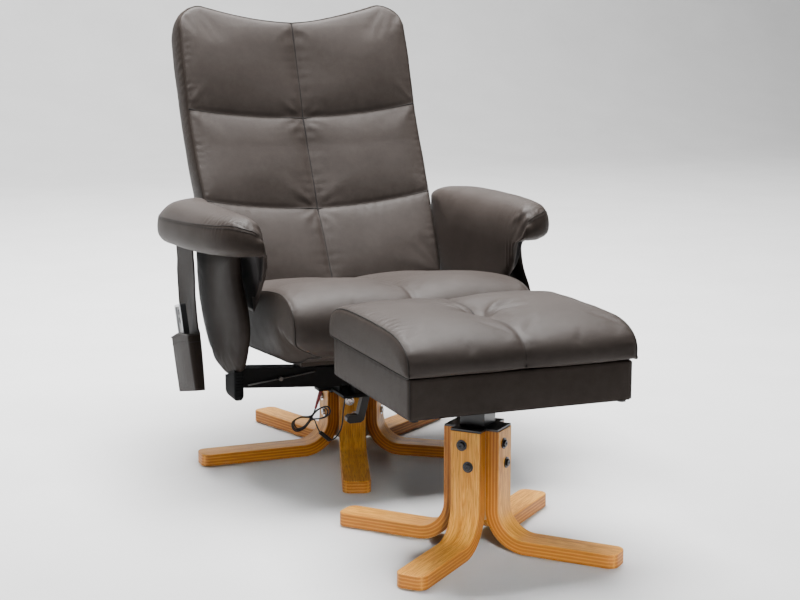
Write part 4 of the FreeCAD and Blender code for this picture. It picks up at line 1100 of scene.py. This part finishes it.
# ------------------------------------------------------------------ plastic feet of the posts
def post_cap(side, name):
    n1, n2 = 10, 22
    chains = four_sides([(312.6, -168), (312.6, -200), (315, -205.4), (323, -206), (331, -205.4), (333.6, -200), (333.6, -168), (333.6, -136), (331, -130.6), (323, -130), (315, -130.6), (312.6, -136)],
                        [(313.2, -204.6), (333, -204.6), (333, -131.4), (313.2, -131.4)], n1, n2)
    grid2 = patch(chains)
    dist, arc = rim_facts(grid2)
    rim = border(n1, n2)
    loop = np.array([grid2[ij] for ij in rim])
    out = outward2(loop)
    place = lambda xy, z: np.stack([side * xy[..., 0] + AX, xy[..., 1] + AY, z + 0 * xy[..., 0]], -1)
    centre = np.array([323.0, -168.0])
    roof = lambda y: 231.6 - (y + 130) * 21.0 / 76.0
    F = place(centre + (grid2 - centre) * np.array([0.62, 0.86]), 189.4 - 0.3 * np.minimum(dist, 4))
    R = place(grid2, roof(grid2[..., 1]))
    rings = 54

    def ring(k):
        z = 189.4 + (roof(loop[:, 1]) - 189.4) * k
        low = np.maximum(0.0, 1 - (z - 189.4) / 12.0)[:, None]
        p = centre + (loop - centre) * (1 - np.array([[0.38, 0.14]]) * low ** 2)
        rib = 0.9 * (np.sin((z - 189) * 2 * math.pi / 6.6) > -0.2) - 0.45
        face = (np.abs(out[:, 1]) > 0.8) * (z > 197) * (k < 0.93)
        p = p + out * (rib * face)[:, None]
        return place(p, z)

    pad = Pad(F, R, rings, ring)
    o = make(name, pad.v, pad.faces, [GREY_PLASTIC], "chair_frame")
    b = o.modifiers.new("edge", "BEVEL")
    b.width, b.segments, b.limit_method, b.angle_limit = 0.0006, 2, "ANGLE", math.radians(40)
    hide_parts("post_caps")


post_cap(-1, "post_cap_left")
post_cap(1, "post_cap_right")

# ------------------------------------------------------------------ side pocket and its pouch
TILT = math.radians(-13.0)


def pocket(x, y, z):
    """Pocket coordinates (out from the chair is -x, along the arm, up) to the shared frame, millimetres."""
    c, s = math.cos(TILT), math.sin(TILT)
    return np.stack([x - 364 + AX + 0 * y, 66 + c * y - s * z + AY, 474 + s * y + c * z], -1)


def shell(name, surface, thick, body, mats, stands_for, inward):
    """A sheet with a turned hem: the grid, its offset copy, and a rounded rim between them."""
    n1, n2 = surface.shape[0] - 1, surface.shape[1] - 1
    other = surface + inward * thick
    rim = border(n1, n2)
    fb = np.array([surface[ij] for ij in rim])
    rb = np.array([other[ij] for ij in rim])
    out = fb - (np.roll(fb, 3, 0) + np.roll(fb, -3, 0)) / 2

    def ring(k):
        return fb * (1 - k) + rb * k

    pad = Pad(surface, other, 3, ring)
    o = make(name, pad.v, pad.faces, mats, body)
    m = o.modifiers.new("smooth", "SUBSURF")
    m.levels = m.render_levels = 1
    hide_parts(*stands_for)
    return o, rim


def side_pocket():
    ny, nz = 24, 58
    t = np.linspace(0, 1, nz + 1)[None]
    front = -83.0 + 12.0 * t
    y = front + (75.0 - front) * np.linspace(0, 1, ny + 1)[:, None]
    top = (14.0 - math.sin(TILT) * y) / math.cos(TILT)
    z = -311 + (top + 311) * t
    # the panel hangs nearly flat, its long edges curl and it buckles a little above the mouth
    curl = 2.2 * np.abs(y / 79) ** 4
    buckle = 2.4 * np.exp(-((z + 120) / 55) ** 2) * np.cos(y / 26.0) + 1.2 * np.sin(z / 31.0) * np.sin(y / 40.0 + 0.6)
    x = np.clip(buckle - curl, -4.0, 2.2) * step(-5, -40, z) * np.where(z < -182, 0.4, 1.0)
    # the pocket panel, its pouch and the pouch floor take the much darker leather copy: painted shade
    sheet, rim = shell("pocket_panel_leather", pocket(x - 1.6, y, z), 2.6, "chair_frame", [HIDE_PAINTED_SHADE], ["pocket_panel"], np.array([1.0, 0, 0]))
    edge = [pocket(x[ij] - 1.8, y[ij] * 0.945, -150 + (z[ij] + 150) * 0.958) for ij in rim]
    thread("pocket_panel_stitch", edge, "chair_frame", 0.55, THREAD_AND_SEAM_SHADE, True)
    # pouch: one sheet bent round in a U and sewn to the panel, wider at its mouth, with a hemmed mouth
    nu, nw = 56, 22
    k = np.linspace(0, 1, nw + 1)
    rows = []
    for q in k:
        zz = -310 + 124.0 * q
        depth = 21.4 + 8 * q
        rad = 9.0
        path = [(-3.2, -85.0)]
        path += [(-(depth - rad), -85.0)]
        path += [(-(depth - rad) - rad * math.sin(a), -85 + rad - rad * math.cos(a)) for a in np.linspace(0.2, math.pi / 2, 6)]
        path += [(-(depth - rad) - rad * math.sin(a), 77 - rad + rad * math.cos(a)) for a in np.linspace(math.pi / 2, 0.2, 6)]
        path += [(-(depth - rad), 77.0), (-3.2, 77.0)]
        line = evenly(np.array(path), nu)
        belly = 2.0 * math.sin(math.pi * q) * np.cos((line[:, 1] + 4) / 81 * math.pi / 2)
        rows.append(np.stack([line[:, 0] - belly, line[:, 1], np.full(nu + 1, zz) + 3.0 * q * np.cos((line[:, 1] + 4) / 81 * math.pi)], 1))
    g = np.array(rows).transpose(1, 0, 2)
    nrm = np.zeros_like(g)
    t = np.gradient(g[..., :2], axis=0)
    nrm[..., 0], nrm[..., 1] = t[..., 1], -t[..., 0]
    nrm /= np.maximum(np.linalg.norm(nrm, axis=2, keepdims=True), 1e-9)
    if (nrm[nu // 2, nw // 2, 0]) < 0:
        nrm = -nrm
    world = pocket(g[..., 0], g[..., 1], g[..., 2])
    inner = pocket(g[..., 0] + nrm[..., 0], g[..., 1] + nrm[..., 1], g[..., 2]) - world
    pouch, rim2 = shell("pocket_pouch_leather", world, 1.9, "chair_frame", [HIDE_PAINTED_SHADE], ["pocket_pouch"], inner)
    # floor of the pouch
    base = g[:, 0, :]
    tip = np.array([[-3.2, p[1], -310.0] for p in base])
    fl = [pocket(*(base[i] * (1 - f) + tip[i] * f + np.array([0, 0, 0.0])).reshape(3, 1)).ravel() for i in range(nu + 1) for f in np.linspace(0.03, 1, 6)]
    faces = [(i * 6 + j, (i + 1) * 6 + j, (i + 1) * 6 + j + 1, i * 6 + j + 1) for i in range(nu) for j in range(5)]
    o = make("pocket_pouch_floor", fl, faces, [HIDE_PAINTED_SHADE], "chair_frame")
    so = o.modifiers.new("thick", "SOLIDIFY")
    so.thickness, so.offset = 0.0018, 0.0
    # turned hem round the mouth
    mouth = [pocket(g[i, nw, 0] - nrm[i, nw, 0] * 0.2, g[i, nw, 1] - nrm[i, nw, 1] * 0.2, g[i, nw, 2]) for i in range(nu + 1)]
    thread("pocket_pouch_hem", mouth, "chair_frame", 1.7, PIPING)
    lower = [pocket(g[i, nw - 3, 0] - nrm[i, nw - 3, 0] * 0.3, g[i, nw - 3, 1] - nrm[i, nw - 3, 1] * 0.3, g[i, nw - 3, 2]) for i in range(nu + 1)]
    thread("pocket_pouch_stitch", lower, "chair_frame", 0.5)


side_pocket()


# ------------------------------------------------------------------ footstool box
def round_box(hx, hy, r, n):
    pts = []
    for cx, cy, a0 in ((hx - r, hy - r, 0), (-hx + r, hy - r, 90), (-hx + r, -hy + r, 180), (hx - r, -hy + r, 270)):
        for k in range(6):
            a = math.radians(a0 + 90 * k / 5)
            pts.append((cx + r * math.cos(a), cy + r * math.sin(a)))
    p = np.array(pts + pts[:1])
    return evenly(p, n)[:-1]


def stool_box():
    n = 280
    outer = round_box(217.0, 196.5, 7.0, n)
    inner = round_box(205.0, 184.5, 4.0, n)
    out = outward2(outer)
    flatx = 1 - np.minimum(1, np.abs(outer[:, 0]) / 217.0) ** 6
    flaty = 1 - np.minimum(1, np.abs(outer[:, 1]) / 196.5) ** 6
    mid = np.maximum(flatx * (np.abs(out[:, 1]) > 0.7), flaty * (np.abs(out[:, 0]) > 0.7))
    arcs = np.concatenate([[0], np.cumsum(np.linalg.norm(np.diff(outer, axis=0), axis=1))])
    rows = []
    zs = [307.0] + list(np.linspace(308.4, 378.4, 13)) + [379.6]
    for i, z in enumerate(zs):
        f = (z - 307) / 72.6
        puff = 1.6 * math.sin(math.pi * f) * mid - (1.4 if i in (0, len(zs) - 1) else 0)
        ripple = 0.5 * np.array([noise.noise((a / 55.0, z / 40.0, 81.0)) for a in arcs]) + 0.7 * math.exp(-min(z - 307, 380 - z) / 9.0) * wave(arcs, 83.0, 27.0) * (0 < i < len(zs) - 1)
        p = outer + out * (puff + ripple)[:, None]
        rows.append(np.column_stack([p[:, 0] + SX, p[:, 1] + SY, np.full(n, z)]))
    for z, k in ((379.9, 0.5), (379.6, 1.0), (350.0, 1.0), (319.0, 1.0)):
        p = outer * (1 - k) + inner * k
        rows.append(np.column_stack([p[:, 0] + SX, p[:, 1] + SY, np.full(n, z)]))
    verts = np.vstack(rows)
    faces, mats = [], []
    for r in range(len(rows) - 1):
        for q in range(n):
            faces.append((r * n + q, r * n + (q + 1) % n, (r + 1) * n + (q + 1) % n, (r + 1) * n + q))
            mats.append(1 if r >= len(zs) else 0)
    verts = list(verts)
    for row, z, m in ((0, 307.0, 1), (len(rows) - 1, 319.0, 1)):
        prev = [row * n + q for q in range(n)]
        for k in (0.66, 0.33):
            ids = []
            for q in range(n):
                p = rows[row][q]
                verts.append(np.array([SX + (p[0] - SX) * k, SY + (p[1] - SY) * k, z]))
                ids.append(len(verts) - 1)
            for q in range(n):
                faces.append((prev[q], prev[(q + 1) % n], ids[(q + 1) % n], ids[q]))
                mats.append(m)
            prev = ids
        verts.append(np.array([SX, SY, z]))
        c = len(verts) - 1
        for q in range(n):
            faces.append((prev[q], prev[(q + 1) % n], c))
            mats.append(m)
    # the stool box's sides take the darker band leather: painted shade
    o = make("stool_box_leather", verts, faces, [HIDE_BAND_PAINTED_SHADE, LINING_AND_SHADE], "footstool")
    o.data.polygons.foreach_set("material_index", mats)
    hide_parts("stool_box")
    # upright corner seams and the tacked lower edge
    for k, (sx, sy) in enumerate(((-1, -1), (1, -1), (1, 1), (-1, 1))):
        thread("stool_box_corner_seam_%d" % k, [(SX + sx * 215.4, SY + sy * 194.9, z) for z in np.linspace(309, 378, 12)], "footstool", 0.9, PIPING)
    low = round_box(216.3, 195.8, 7.0, 120)
    thread("stool_box_lower_welt", [(SX + p[0], SY + p[1], 308.2) for p in low], "footstool", 1.2, PIPING, True)


stool_box()

# ------------------------------------------------------------------ finishes of the rigid pieces
def finish_of(names, mat):
    for n in names:
        o = nodes[n]
        o.data.materials.clear()
        o.data.materials.append(mat)
        o.data.polygons.foreach_set("material_index", [0] * len(o.data.polygons))


for k, (n, turn) in enumerate((("base_leg_front", 251.9), ("base_leg_front_right", 323.9), ("base_leg_rear_right", 35.9), ("base_leg_rear_left", 107.9), ("base_leg_front_left", 179.9))):
    finish_of([n], ply("oak_" + n, (AX / 1000, AY / 1000), turn, (0.123, 0.084), 0.055, 3.7 * k + 0.5))
for k, (n, turn) in enumerate((("stool_leg_front_left", 221.5), ("stool_leg_front_right", 311.5), ("stool_leg_rear_right", 41.5), ("stool_leg_rear_left", 131.5))):
    finish_of([n], ply("oak_" + n, (SX / 1000, SY / 1000), turn, (0.1115, 0.084), 0.055, 4.1 * k + 20.3))
finish_of(["hub_column", "stool_hub"], BOARD)
finish_of(["hub_cap_plate", "mechanism_plate", "cross_bar", "mechanism_side_plates", "glide_rails", "arm_uprights", "seat_runners", "lever_pivot"], STEEL)
finish_of(["stool_post", "stool_cap_plate", "stool_hinge"], STEEL_SATIN)
finish_of(["base_bolts", "mechanism_bolts", "recline_pins", "swivel_spindle", "swivel_bearing_ring"], ZINC)
finish_of(["lock_cable"], CABLE)
finish_of(["stool_bolts"], BLACK_BOLT)
finish_of(["control_box", "seat_motors", "back_motors", "lock_lever", "remote_body"], BLACK_PLASTIC)
finish_of(["remote_bezel"], SILVER)
finish_of(["remote_button_mode", "remote_button_power"], BUTTON)
finish_of(["base_glides", "stool_glides", "stool_box_feet"], RUBBER)
finish_of(["cord_connector"], CORD)
finish_of(["cord_sleeve"], RED)
# the boards take the near-black finish: painted shade
finish_of(["seat_board", "back_board", "stool_lid_board"], BOARD_PAINTED_SHADE)
